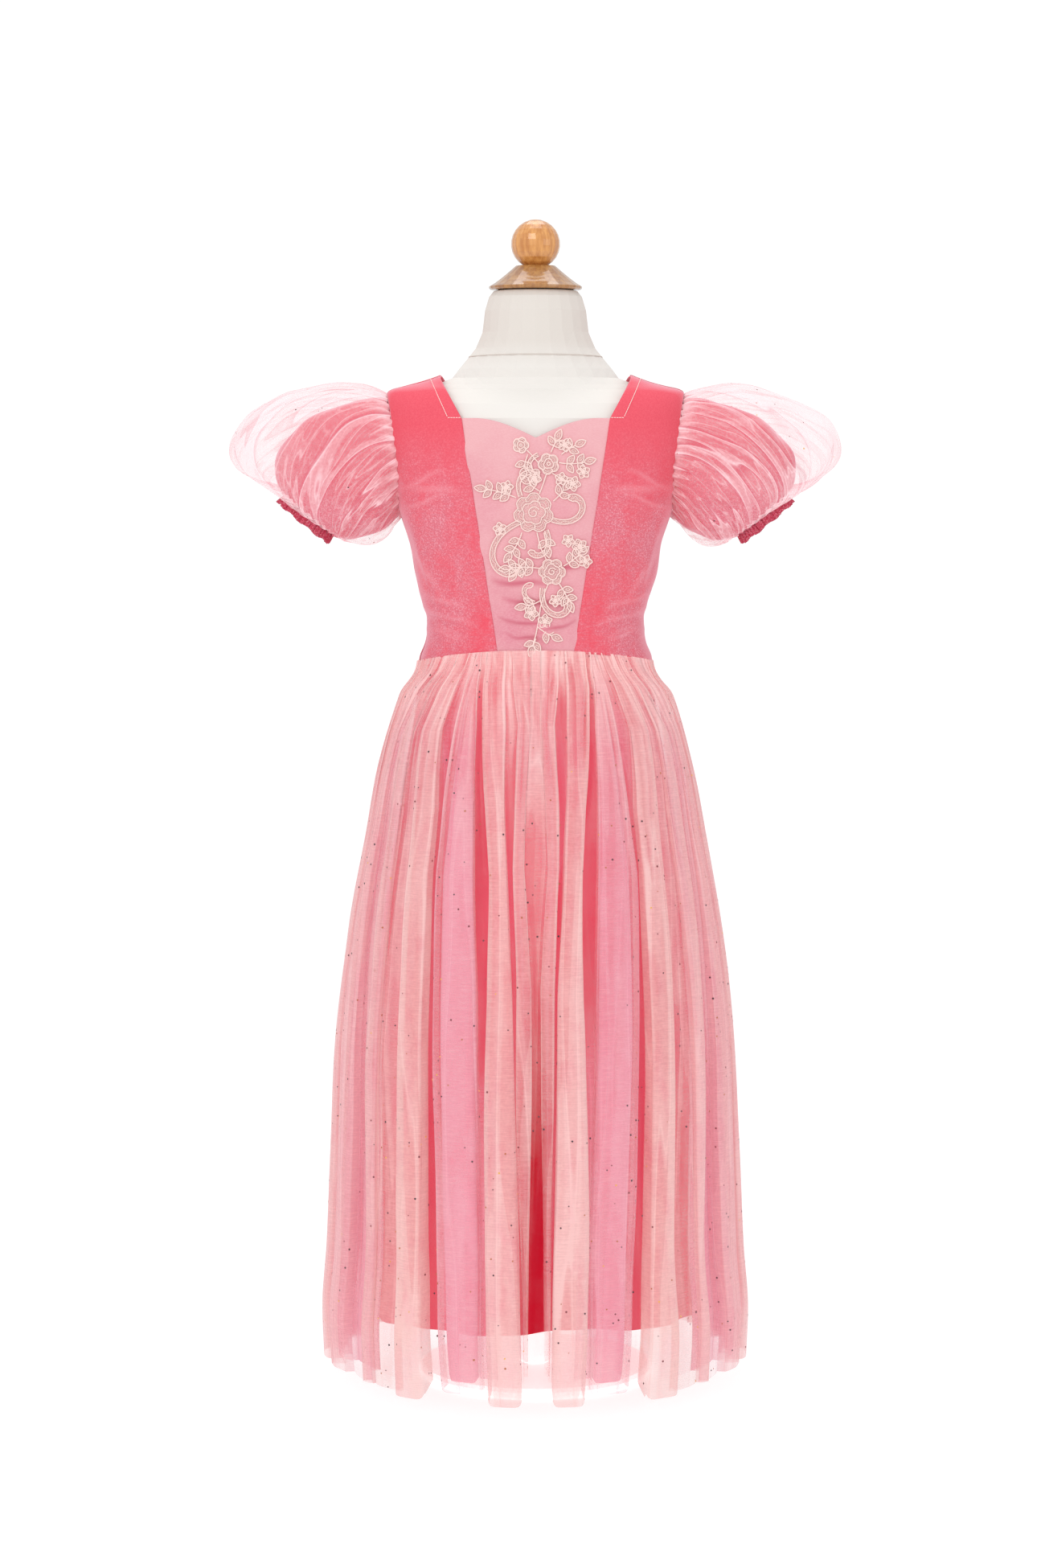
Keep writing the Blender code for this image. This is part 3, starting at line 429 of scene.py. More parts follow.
class Paint:
    """A material with short ways to add its nodes."""

    def __init__(self, name, **sockets):
        self.material = bpy.data.materials.new(name)
        self.material.use_nodes = True
        self.tree = self.material.node_tree
        self.shader = self.tree.nodes["Principled BSDF"]
        for key, value in sockets.items():
            label = key.replace("_", " ")
            socket = self.shader.inputs[label]
            socket.default_value = (*value, 1.0) if isinstance(value, tuple) else value

    def node(self, kind, inputs=(), **settings):
        made = self.tree.nodes.new(kind)
        for key, value in settings.items():
            setattr(made, key, value)
        for key, value in dict(inputs).items():
            if isinstance(value, bpy.types.NodeSocket):
                self.tree.links.new(value, made.inputs[key])
            elif isinstance(value, tuple) and len(value) == 3 and made.inputs[key].type == "RGBA":
                made.inputs[key].default_value = (*value, 1.0)
            else:
                made.inputs[key].default_value = value
        return made

    def place(self):
        return self.node("ShaderNodeTexCoord").outputs["Object"]

    def axis(self, name):
        return self.node("ShaderNodeSeparateXYZ", {0: self.place()}).outputs[name]

    def stretched(self, scale):
        return self.node("ShaderNodeMapping", {0: self.place(), 3: scale}).outputs[0]

    def noise(self, scale, detail=3.0, where=None, rough=0.5):
        inputs = {"Vector": where or self.place(), "Scale": scale, "Detail": detail, "Roughness": rough}
        return self.node("ShaderNodeTexNoise", inputs).outputs["Fac"]

    def value(self, label, kind="Fac"):
        return self.node("ShaderNodeAttribute", attribute_name=label).outputs[kind]

    def span(self, value, low, high, to_low=0.0, to_high=1.0):
        return self.node("ShaderNodeMapRange", {0: value, 1: low, 2: high, 3: to_low, 4: to_high}).outputs[0]

    def math(self, how, a, b=0.0):
        return self.node("ShaderNodeMath", {0: a, 1: b}, operation=how).outputs[0]

    def times(self, a, b):
        return self.math("MULTIPLY", a, b)

    def plus(self, total, *others):
        for other in others:
            total = self.math("ADD", total, other)
        return total

    def ridges(self, field, half):
        """Thin forking lines where a noise is at its middle value."""
        return self.span(self.math("ABSOLUTE", self.math("SUBTRACT", field, 0.5)), 0.0, half, 1.0, 0.0)

    def band(self, field, full, end, fading, start=0.500):
        """One where a noise lies between two values: sharp at the first, soft at the other."""
        return self.times(self.span(field, start, full), self.span(field, end, fading))

    def facing_away(self):
        return self.node("ShaderNodeLayerWeight", {"Blend": 0.35}).outputs["Facing"]

    def blend(self, fac, a, b):
        made = self.tree.nodes.new("ShaderNodeMix")
        made.data_type = "RGBA"
        for socket, value in ((made.inputs[0], fac), (made.inputs[6], a), (made.inputs[7], b)):
            if isinstance(value, bpy.types.NodeSocket):
                self.tree.links.new(value, socket)
            else:
                socket.default_value = (*value, 1.0) if isinstance(value, tuple) else value
        return made.outputs[2]

    def tint(self, base, share, text):
        return self.blend(share, base, colour(text))

    def link(self, key, socket):
        self.tree.links.new(socket, self.shader.inputs[key])

    def bump(self, height, strength, distance):
        made = self.node("ShaderNodeBump", {"Strength": strength, "Distance": distance, "Height": height})
        self.link("Normal", made.outputs[0])


def velvet(name, main, worn, shade):
    """Short pile: saturated where it lies down, pink where it is brushed up, with a painted sheen that pales
    its edges and a painted highlight along its creases.
    """
    paint = Paint(
        name, Roughness=0.9, Sheen_Weight=0.6, Sheen_Roughness=0.3, Sheen_Tint=colour("FFC4CC"),
        Specular_IOR_Level=0.05,
    )
    nap = paint.noise(1.0, 6.0, paint.stretched((17.0, 17.0, 9.0)), 0.66)
    streak = paint.noise(1.0, 3.0, paint.stretched((160.0, 160.0, 900.0)), 0.6)
    grain = paint.noise(780.0, 3.0, rough=0.75)
    low = paint.span(paint.axis("Z"), 0.850, 0.770)
    aside = paint.span(paint.math("ABSOLUTE", paint.axis("X")), 0.045, 0.100)
    share = paint.plus(
        paint.span(low, 0.0, 1.0, 0.06, 0.42),
        paint.times(paint.times(low, aside), 0.30),
        paint.times(low, paint.span(nap, 0.40, 0.60, -0.34, 0.34)),
        paint.times(low, paint.span(streak, 0.42, 0.62, -0.16, 0.16)),
    )
    share = paint.span(share, 0.0, 1.0)
    flecks = paint.times(paint.span(grain, 0.50, 0.66), paint.span(share, 0.0, 1.0, 0.04, 0.60))
    base = paint.blend(share, colour(main), colour(worn))
    base = paint.tint(base, paint.span(grain, 0.50, 0.36, 0.0, 0.30), shade)
    base = paint.tint(base, flecks, "FFC2CC")
    # Painted highlight: paler along the creases, by the crease mask.
    base = paint.tint(base, paint.span(paint.value("fold"), 0.0, 1.0, 0.0, 0.3), "F6AEB8")
    # Painted sheen: paler where the surface turns away from the view.
    base = paint.tint(base, paint.span(paint.facing_away(), 0.45, 0.90, 0.0, 0.75), "F3BCCB")
    paint.link("Base Color", base)
    paint.bump(grain, 0.35, 0.0007)
    return paint.material


def sateen(name, main, deep):
    """Smooth crepe, a little deeper in colour towards the waist, with painted shade in its creases."""
    paint = Paint(name, Roughness=0.6, Sheen_Weight=0.15, Sheen_Roughness=0.5, Specular_IOR_Level=0.2)
    weave = paint.noise(1.0, 3.0, paint.stretched((500.0, 500.0, 1400.0)), 0.65)
    lower = paint.span(paint.axis("Z"), 0.84, 0.68, 0.0, 0.55)
    cloud = paint.plus(lower, paint.span(paint.noise(26.0, 4.0), 0.35, 0.68, -0.15, 0.22))
    base = paint.blend(cloud, colour(main), colour(deep))
    base = paint.tint(base, paint.span(weave, 0.42, 0.70, 0.0, 0.35), "F6C6CC")
    # Painted shade: deeper pink along the creases.
    paint.link("Base Color", paint.tint(base, paint.value("fold"), "D06C7E"))
    paint.bump(weave, 0.25, 0.0004)
    return paint.material


# A net material with a painted glow: its emission stands in for light passing through the net.
def net_paint(name, painted_glow):
    return Paint(
        name, Roughness=0.85, Sheen_Weight=0.15, Sheen_Roughness=0.5, Specular_IOR_Level=0.05,
        Emission_Strength=painted_glow,
    )


def thinned(paint, alpha):
    """Shadows and bounced light pass more of the net, as they do through real net."""
    rays = paint.node("ShaderNodeLightPath")
    dim = paint.math("MAXIMUM", rays.outputs["Is Shadow Ray"], rays.outputs["Is Diffuse Ray"])
    paint.link("Alpha", paint.times(paint.span(alpha, 0.0, 1.0), paint.span(dim, 0.0, 1.0, 1.0, 0.35)))


def net(name, main, pinker, thin, thick):
    """Sheer net, denser where it lies double, with small folds down it, fine ribs across it and a painted
    glow.
    """
    paint = net_paint(name, 0.13)
    dense, height, flow = paint.value("dense"), paint.axis("Z"), paint.value("flow", "Vector")
    ribs = paint.noise(1.0, 2.0, paint.stretched((90.0, 90.0, 1500.0)))
    patch = paint.noise(1.0, 5.0, paint.stretched((60.0, 60.0, 24.0)), 0.6)
    specks = paint.noise(420.0, 2.0)
    soft, folds, small = (paint.noise(*row, flow) for row in ((0.30, 2.0), (0.42, 1.0), (0.95, 1.0)))
    base = paint.blend(paint.value("pink"), colour(main), colour(pinker))
    base = paint.tint(base, paint.span(ribs, 0.45, 0.75, 0.0, 0.25), "EBC9C6")
    base = paint.tint(base, paint.span(patch, 0.50, 0.68, 0.0, 0.25), "E490A2")
    base = paint.tint(base, paint.span(height, 0.575, 0.650, 0.0, 0.70), "F6D2CE")
    paint.link("Base Color", base)
    # Painted glow: an emission in the net's own tint, for light passing through it.
    paint.link("Emission Color", paint.tint(base, 0.5, "F0808C"))
    overlaps = paint.plus(paint.band(folds, 0.507, 0.600, 0.560), paint.band(soft, 0.506, 0.620, 0.560))
    tucks = paint.plus(
        paint.span(small, 0.40, 0.60, -0.12, 0.26), paint.times(paint.ridges(small, 0.030), 0.18)
    )
    uneven = paint.plus(
        paint.span(ribs, 0.35, 0.7, -0.05, 0.05),
        paint.span(patch, 0.35, 0.7, 0.06, -0.07),
        paint.span(specks, 0.35, 0.7, -0.03, 0.03),
        paint.span(soft, 0.36, 0.64, -0.10, 0.10),
        paint.times(paint.ridges(folds, 0.024), 0.20),
        paint.times(overlaps, 0.13),
        paint.times(tucks, paint.span(height, 0.540, 0.645)),
    )
    uneven = paint.times(uneven, paint.span(dense, 0.05, 0.45, 0.25, 1.0))
    alpha = paint.plus(uneven, paint.span(dense, 0.0, 1.0, thin, thick))
    thinned(paint, paint.times(alpha, paint.span(height, 0.045, 0.075, 0.80, 1.0)))
    return paint.material


def sleeve_net(name, main, shade):
    """Sheer net with thin pale creases that fork between the armhole and the cuff, painted shade beside them
    and a painted glow.
    """
    paint = net_paint(name, 0.08)
    flow = paint.value("flow", "Vector")
    large, small, fine = (paint.noise(scale, 1.0, flow, 0.35) for scale in (1.15, 2.6, 5.6))
    lines = paint.math("MAXIMUM", paint.ridges(large, 0.017), paint.times(paint.ridges(small, 0.020), 0.75))
    lines = paint.math("MAXIMUM", lines, paint.times(paint.ridges(fine, 0.035), 0.35))
    second = paint.times(paint.band(small, 0.506, 0.58, 0.55), 0.5)
    bands = paint.plus(paint.band(large, 0.504, 0.585, 0.565), second)
    # Painted shade along one side of each crease.
    base = paint.tint(colour(main), paint.times(paint.band(large, 0.494, 0.440, 0.480), 0.55), shade)
    paint.link("Base Color", base)
    # Painted glow in the net's colour, for light passing through it.
    paint.link("Emission Color", base)
    thinned(paint, paint.plus(
        paint.span(paint.value("dense"), 0.0, 1.0, 0.10, 0.66),
        paint.times(lines, 0.38),
        paint.times(bands, 0.17),
        paint.span(paint.noise(420.0, 2.0), 0.35, 0.7, -0.05, 0.05),
    ))
    return paint.material


def lining(name, main, deep):
    """Plain matt lining with a painted glow, and painted shade down the middle of the front where it lies
    deep in the skirt's folds.
    """
    # Painted glow: a weak emission in the lining's colour.
    paint = Paint(name, Roughness=0.8, Specular_IOR_Level=0.1, Emission_Strength=0.10)
    soft = paint.noise(1.0, 4.0, paint.stretched((18.0, 18.0, 5.0)))
    base = paint.tint(colour(main), paint.span(soft, 0.38, 0.68, 0.0, 0.30), deep)
    # Painted shade where the lining lies deep in the valley at the middle of the front.
    base = paint.tint(base, paint.value("deep"), deep)
    paint.link("Base Color", base)
    paint.link("Emission Color", base)
    return paint.material


def make_finishes():
    made = {
        "coral_velvet": velvet("coral velvet", "EE5B6B", "DE7C8B", "DA5062"),
        "sleeve_velvet": velvet("sleeve velvet", "DE4A5E", "DC6478", "C03A50"),
        "frill_velvet": velvet("cuff frill velvet", "C43450", "CC4A62", "94203A"),
        "pink_sateen": sateen("pink sateen", "EBAFB4", "DC7F92"),
        "salmon_tulle": net("salmon glitter net", "E4BAB6", "E0A4B0", 0.00, 0.71),
        "sleeve_net": sleeve_net("pale glitter net", "FFE2E6", "D67C8E"),
        "pink_tulle": net("pink net", "E08EA0", "E08EA0", 0.00, 0.80),
        "coral_lining": lining("coral lining", "DE4A5E", "BC0422"),
    }
    cover = Paint("form cover", Roughness=0.9, Specular_IOR_Level=0.1)
    up_neck = cover.span(cover.axis("Z"), 0.900, 0.925)
    cover.link("Base Color", cover.tint(colour("EDE9E4"), up_neck, "E2DBD4"))
    cover.bump(cover.noise(1400.0, 2.0), 0.1, 0.0003)
    cord = Paint("lace cord", Base_Color=colour("F8DAD4"), Roughness=0.75)
    cord.bump(cord.noise(2600.0, 2.0), 0.2, 0.0003)
    # Painted glow: the stand's white paint gives off light, so it stays near-white in the skirt's shade.
    painted_glow_steel = Paint(
        "white stand paint with painted glow", Base_Color=colour("F0F0EE"), Roughness=0.4, Emission_Color=WHITE,
        Emission_Strength=0.50,
    )
    made.update({
        "form_cover": cover.material,
        "turned_wood": lacquered_wood("lacquered cap wood", "BC8648", "9C622A"),
        "finial_wood": lacquered_wood("lacquered finial wood", "E8A459", "C8803A"),
        "white_steel": painted_glow_steel.material,
        "thread": Paint("pale thread", Base_Color=colour("FBD9D6"), Roughness=0.8).material,
        "lace_cord": cord.material,
        "seam": Paint("neck seam", Base_Color=colour("D6CCC4"), Roughness=0.9).material,
        "lace_net": lace_ground("lace ground"),
        "glitter": glitter_flecks("glitter flecks"),
    })
    return made


def lacquered_wood(name, main, dark):
    paint = Paint(name, Roughness=0.35, Coat_Weight=1.0, Coat_Roughness=0.06)
    grain = paint.noise(1.0, 5.0, paint.stretched((260.0, 260.0, 26.0)), 0.6)
    paint.link("Base Color", paint.blend(paint.span(grain, 0.38, 0.62), colour(main), colour(dark)))
    return paint.material


def lace_ground(name):
    paint = Paint(name, Base_Color=colour("FBD8D4"), Roughness=0.8)
    cells = paint.node(
        "ShaderNodeTexVoronoi", {"Vector": paint.place(), "Scale": 900.0}, feature="DISTANCE_TO_EDGE"
    ).outputs["Distance"]
    paint.link("Alpha", paint.span(cells, 0.05, 0.14, 0.75, 0.22))
    return paint.material


def glitter_flecks(name):
    paint = Paint(name, Roughness=0.45, Specular_IOR_Level=0.8)
    ramp = paint.node("ShaderNodeValToRGB", {0: paint.value("pick")})
    ramp.color_ramp.interpolation = "CONSTANT"
    stops = ((0.0, "3A1A26"), (0.3, "7A2430"), (0.55, "B0602C"), (0.72, "4E2630"), (0.9, "E8B050"))
    while len(ramp.color_ramp.elements) < len(stops):
        ramp.color_ramp.elements.new(0.5)
    for element, (at, text) in zip(ramp.color_ramp.elements, stops):
        element.position = at
        element.color = (*colour(text), 1.0)
    paint.link("Base Color", ramp.outputs[0])
    return paint.material


# Geometry nodes for what repeats or follows a line


def tree_of(name, *numbers, whole=()):
    """A node tree that takes a mesh, some numbers and a material, with its first and last nodes."""
    tree = bpy.data.node_groups.new(name, "GeometryNodeTree")
    inputs = [("Geometry", "Geometry")] + [(label, "Float") for label in numbers]
    inputs += [(label, "Int") for label in whole] + [("Finish", "Material")]
    for label, kind in inputs:
        tree.interface.new_socket(label, in_out="INPUT", socket_type="NodeSocket" + kind)
    tree.interface.new_socket("Geometry", in_out="OUTPUT", socket_type="NodeSocketGeometry")
    return tree, tree.nodes.new("NodeGroupInput"), tree.nodes.new("NodeGroupOutput")


def joined(tree, kind, inputs=(), **settings):
    made = tree.nodes.new(kind)
    for key, value in settings.items():
        setattr(made, key, value)
    for key, value in dict(inputs).items():
        if isinstance(value, bpy.types.NodeSocket):
            tree.links.new(value, made.inputs[key])
        else:
            made.inputs[key].default_value = value
    return made


def first(tree, kind, inputs=(), **settings):
    """The first output of a new node."""
    return joined(tree, kind, inputs, **settings).outputs[0]


def finished(tree, end, geometry, finish):
    real = first(tree, "GeometryNodeRealizeInstances", {"Geometry": geometry})
    covered = first(tree, "GeometryNodeSetMaterial", {"Geometry": real, "Material": finish})
    tree.links.new(covered, end.inputs[0])
    return tree


def cord_tree():
    """A round cord along lines, a little uneven, as corded lace is."""
    tree, start, end = tree_of("Cord on lines", "Radius", "Step", "Uneven")
    line = first(tree, "GeometryNodeMeshToCurve", {"Mesh": start.outputs[0]})
    spacing = {"Curve": line, "Length": start.outputs["Step"]}
    line = first(tree, "GeometryNodeResampleCurve", spacing, mode="LENGTH")
    bumps = first(tree, "ShaderNodeTexNoise", {"Scale": 700.0, "Detail": 1.0})
    spread = first(tree, "ShaderNodeMath", {0: bumps, 1: 0.5}, operation="SUBTRACT")
    terms = {0: spread, 1: start.outputs["Uneven"], 2: 1.0}
    share = first(tree, "ShaderNodeMath", terms, operation="MULTIPLY_ADD")
    radius = first(tree, "ShaderNodeMath", {0: share, 1: start.outputs["Radius"]}, operation="MULTIPLY")
    ring = first(tree, "GeometryNodeCurvePrimitiveCircle", {"Resolution": 6, "Radius": 1.0})
    tube = first(tree, "GeometryNodeCurveToMesh", {
        "Curve": line, "Profile Curve": ring, "Scale": radius, "Fill Caps": True,
    })
    rounded = first(tree, "GeometryNodeSetShadeSmooth", {"Geometry": tube})
    return finished(tree, end, rounded, start.outputs["Finish"])


def stitch_tree():
    """Single stitches laid end to end along a line."""
    tree, start, end = tree_of("Stitches on lines", "Pitch", "Length", "Radius")
    line = first(tree, "GeometryNodeMeshToCurve", {"Mesh": start.outputs[0]})
    spacing = {"Curve": line, "Length": start.outputs["Pitch"]}
    dots = joined(tree, "GeometryNodeCurveToPoints", spacing, mode="LENGTH")
    stitch = first(tree, "GeometryNodeMeshCylinder", {
        "Vertices": 8, "Radius": start.outputs["Radius"], "Depth": start.outputs["Length"],
    })
    tangent = {"Vector": dots.outputs["Tangent"]}
    along = first(tree, "FunctionNodeAlignRotationToVector", tangent, axis="Z")
    laid = first(tree, "GeometryNodeInstanceOnPoints", {
        "Points": dots.outputs[0], "Instance": stitch, "Rotation": along,
    })
    return finished(tree, end, laid, start.outputs["Finish"])


def glitter_tree():
    """Flat flecks of glitter spread over cloth, each with its own size and tone."""
    tree, start, end = tree_of("Glitter on cloth", "Density", "Radius", whole=("Seed",))
    spots = joined(tree, "GeometryNodeDistributePointsOnFaces", {
        "Mesh": start.outputs[0], "Density": start.outputs["Density"], "Seed": start.outputs["Seed"],
    })
    fleck = first(tree, "GeometryNodeMeshCylinder", {
        "Vertices": 6, "Radius": start.outputs["Radius"], "Depth": 0.0003,
    })
    size = joined(tree, "FunctionNodeRandomValue", {2: 0.6, 3: 1.25}, data_type="FLOAT").outputs[1]
    laid = first(tree, "GeometryNodeInstanceOnPoints", {
        "Points": spots.outputs[0], "Instance": fleck, "Rotation": spots.outputs["Rotation"], "Scale": size,
    })
    tone = joined(tree, "FunctionNodeRandomValue", {2: 0.0, 3: 1.0, "Seed": 5}, data_type="FLOAT").outputs[1]
    pick = {"Geometry": laid, "Name": "pick", "Value": tone}
    named = first(tree, "GeometryNodeStoreNamedAttribute", pick, data_type="FLOAT", domain="INSTANCE")
    return finished(tree, end, named, start.outputs["Finish"])


def grown(name, source, tree, **inputs):
    """A new plain mesh that a node tree makes from a source mesh."""
    made = bpy.data.objects.new(name, source)
    bpy.context.scene.collection.objects.link(made)
    nodes = made.modifiers.new("Made", "NODES")
    nodes.node_group = tree
    for item in tree.interface.items_tree:
        if item.in_out == "INPUT" and item.name in inputs:
            nodes[item.identifier] = inputs[item.name]
    return plain(made)


def lines_mesh(name, lines):
    """A mesh of open or closed lines. A closed line ends where it begins."""
    points, edges = [], []
    for line in lines:
        shut = len(line) > 2 and np.linalg.norm(np.subtract(line[0], line[-1])) < 1e-7
        line = line[:-1] if shut else line
        first = len(points)
        points += [tuple(map(float, p)) for p in line]
        edges += [(first + i, first + i + 1) for i in range(len(line) - 1)]
        if shut:
            edges.append((first + len(line) - 1, first))
    mesh = bpy.data.meshes.new(name)
    mesh.from_pydata(points, edges, [])
    return mesh


# Bodice

# Soft creases on the viewer's right front: from and to (x, z), width and height
CREASES = (
    (0.119, 0.796, 0.078, 0.812, 0.0040, 0.0022),
    (0.117, 0.780, 0.072, 0.792, 0.0036, 0.0020),
    (0.116, 0.768, 0.097, 0.712, 0.0035, -0.0014),
    (0.112, 0.800, 0.066, 0.792, 0.0060, 0.0010),
    (0.098, 0.706, 0.060, 0.690, 0.0040, 0.0012),
    (0.096, 0.692, 0.052, 0.676, 0.0035, 0.0014),
    (0.094, 0.684, 0.062, 0.664, 0.0030, -0.0010),
    (0.060, 0.667, 0.096, 0.672, 0.0030, 0.0012),
    (0.106, 0.742, 0.082, 0.700, 0.0050, 0.0011),
)
CENTRE_CREASES = (
    (-0.034, 0.686, 0.020, 0.674, 0.0030, 0.0018),
    (-0.030, 0.702, 0.024, 0.694, 0.0038, -0.0016),
    (0.036, 0.684, 0.002, 0.669, 0.0028, 0.0018),
    (-0.026, 0.671, 0.006, 0.664, 0.0026, -0.0010),
    (-0.040, 0.718, 0.012, 0.712, 0.0050, 0.0007),
    (0.044, 0.735, 0.010, 0.722, 0.0050, 0.0006),
)


def side_panel(side):
    u = np.linspace(0, 1, 76)
    top = shoulder_height(mix(SHOULDER_NECK_X, SHOULDER_TIP_X, u), VELVET_OUT)
    seam_angle = float(angle_of(CENTRE_WAIST, WAIST_FRONT, VELVET_OUT))
    low = waist_height(mix(seam_angle, math.pi / 2, u)) - PANEL_TUCK
    rows = []
    for t in np.linspace(0, 1, 150):
        z = mix(low, top, t)
        inner = float(centre_edge_x(z[0]))
        outer = float(outer_x(float(z[-1]), VELVET_OUT))
        x = across_row(inner, outer, u, z, t, VELVET_OUT)
        row = body_point(x, z, VELVET_OUT)
        row[:, 1] = np.minimum(row[:, 1], -0.0003)
        rows.append(row)
    grid = np.array(rows)
    edge = u * 0.09
    roll = 0.0006 * np.exp(-((edge / 0.0016) ** 2))
    grid = creased(grid, CREASES)
    soft = 0.00045 * waves(grid, 10, 0.05, 4 if side > 0 else 9)
    grid = grid + normals_of(grid) * (soft - roll[None, :])[..., None]
    return grid * (side, 1, 1)


def centre_panel():
    u = np.linspace(-1, 1, 110)
    lobe = np.sin(math.pi / 2 * np.minimum(np.abs(u) / 0.85, 1.0))
    top = mix(SWEETHEART_DIP, NECK_CORNER, lobe)
    low = waist_height(angle_of(u * CENTRE_WAIST, WAIST_FRONT, SATEEN_OUT)) - PANEL_TUCK
    rows = []
    for t in np.linspace(0, 1, 150):
        z = mix(low, top, t)
        x = u * (centre_edge_x(z) + 0.0012)
        if t == 1:
            x = np.sign(u) * np.minimum(np.abs(x), np.abs(u) * CENTRE_TOP)
        rows.append(body_point(x, z, SATEEN_OUT))
    grid = creased(np.array(rows), CENTRE_CREASES)
    soft = 0.0003 * waves(grid, 8, 0.045, 12)
    return grid + normals_of(grid) * soft[..., None]


def back_panel():
    strap = 0.60
    half = np.linspace(0, 1, 80)
    rim = float(shoulder_height(SHOULDER_NECK_X, VELVET_OUT))
    x_top = np.where(
        half <= strap, SHOULDER_NECK_X * half / strap,
        mix(SHOULDER_NECK_X, SHOULDER_TIP_X, (half - strap) / (1 - strap)),
    )
    top = np.where(
        half <= strap, mix(BACK_NECK, rim, (half / strap) ** 4), shoulder_height(x_top, VELVET_OUT)
    )
    rows = []
    for t in np.linspace(0, 1, 130):
        z = mix(WAIST_SIDE - PANEL_TUCK, top, t)
        outer = float(outer_x(float(z[-1]), VELVET_OUT, back=True))
        by_angle = x_of(half * angle_of(outer, z, VELVET_OUT), z, VELVET_OUT)
        x = mix(by_angle, outer * x_top / SHOULDER_TIP_X, ease((t - 0.40) / 0.35))
        row = body_point(x, z, VELVET_OUT, back=True)
        row[:, 1] = np.maximum(row[:, 1], 0.0003)
        rows.append(np.concatenate([row[:0:-1] * (-1, 1, 1), row]))
    grid = np.array(rows)[:, ::-1]
    uneven = [(x0 * s, z0, x1 * s, z1, w, h) for s in (1, -1) for x0, z0, x1, z1, w, h in CREASES]
    grid = creased(grid, uneven)
    return grid + normals_of(grid) * 0.0005 * waves(grid, 10, 0.055, 21)[..., None]


def strap_stitches():
    """Pale topstitching down each strap's inner edge and in to the neckline's corner."""
    lines = []
    for side in (1, -1):
        z = np.linspace(0.8592, float(shoulder_height(0.0925, VELVET_OUT)) - 0.0004, 30)
        x = np.linspace(0.0770, 0.0925, 30)
        lines.append(body_point(x, z, VELVET_OUT + 0.0003) * (side, 1, 1))
        x = np.linspace(0.0660, 0.0752, 8)
        lines.append(body_point(x, np.full(8, 0.8573), VELVET_OUT + 0.0003) * (side, 1, 1))
    return lines_mesh("strap stitch lines", lines)


def make_bodice(finishes, trees):
    side_cut, velvet_wall = ((0.140, 0.255), 0.0235), 0.0010
    for node, grid, slot, wall, creases, (flat, area) in (
        ("bodice_side_right", side_panel(1), "coral_velvet", velvet_wall, CREASES, side_cut),
        ("bodice_side_left", side_panel(-1), "coral_velvet", velvet_wall, CREASES, side_cut),
        ("bodice_centre", centre_panel(), "pink_sateen", 0.0008, CENTRE_CREASES, ((0.135, 0.205), 0.0195)),
        ("bodice_back", back_panel(), "coral_velvet", velvet_wall, None, ((0.360, 0.260), 0.0700)),
    ):
        # The crease mask that carries the painted crease highlight and shade.
        values = {"fold": crease_shade(grid, creases)} if creases else None
        mirrored = node == "bodice_side_left"
        piece = cloth(node + "_cloth", grid, finishes[slot], flip=mirrored, values=values, thick=wall)
        fitted(piece, node)
    stitches = grown(
        "strap_topstitch", strap_stitches(), trees["stitch"], Pitch=0.0021, Length=0.0017, Radius=0.00032,
        Finish=finishes["thread"],
    )
    fitted(stitches)


# Skirt


def hung_row(at, z, waist, inward, top_out, shrink=1.0):
    """A skirt's points at some heights: on the body at the waist, and on the skirt's section below."""
    width, front, back, _ = columns_at(SKIRT, z)
    power = mix(2.0, 2.3, ease((z - 0.35) / 0.30))
    x, y = superellipse(at, width - inward, front - inward, back - inward, power)
    bx, by = superellipse(at, *body_section(np.maximum(z, waist - 0.010), top_out))
    hang = ease((waist - z) / 0.030)
    return np.stack([mix(bx * shrink, x, hang), mix(by * shrink, y, hang), z], -1)


def sprinkled(name, piece, density, seed, radius, finishes, trees):
    """Glitter over a piece of net."""
    flecks = grown(
        name, piece.data, trees["glitter"], Density=density, Seed=seed, Radius=radius,
        Finish=finishes["glitter"],
    )
    return fitted(flecks)


def strip_ring(z):
    """The strips' edges at one height, all round from the centre front: starts and stops in degrees."""
    heights = np.array(STRIP_HEIGHTS[::-1])
    edges = np.array([np.interp(z, heights, row[0][::-1]) for row in STRIPS])
    inner, outer = np.append(-edges[0], edges[:-1]), edges.copy()
    outer[-1] = 360 - edges[-2]
    back_inner, back_outer = 360 - edges[-2:0:-1], 360 - edges[-3::-1]
    return np.append(inner, back_inner), np.append(outer, back_outer)


def strip_values(column, z):
    """One column of the strips at one height, all round."""
    at = ease((z - 0.12) / 0.30) + ease((z - 0.42) / 0.19)
    values = np.array([np.interp(at, (0, 1, 2), row[column][::-1]) for row in STRIPS])
    return np.append(values, values[-2:0:-1])


def gather_lines(count, rng):
    """Where each strip's small gathers lie across it, how they lean, and how far down they reach."""
    lines, number = [], 7
    for _ in range(count):
        place = (np.arange(number) + rng.uniform(0.2, 0.8, number)) / number * 2 - 1
        reach = rng.choice((0.05, 0.10, 0.16, 0.26, 0.45), number, p=(0.15, 0.25, 0.25, 0.2, 0.15))
        lean, depth = rng.uniform(-0.9, 0.9, number), rng.uniform(0.6, 1.0, number)
        lines.append(np.stack([place, lean, reach, depth], 1))
    return np.array(lines)


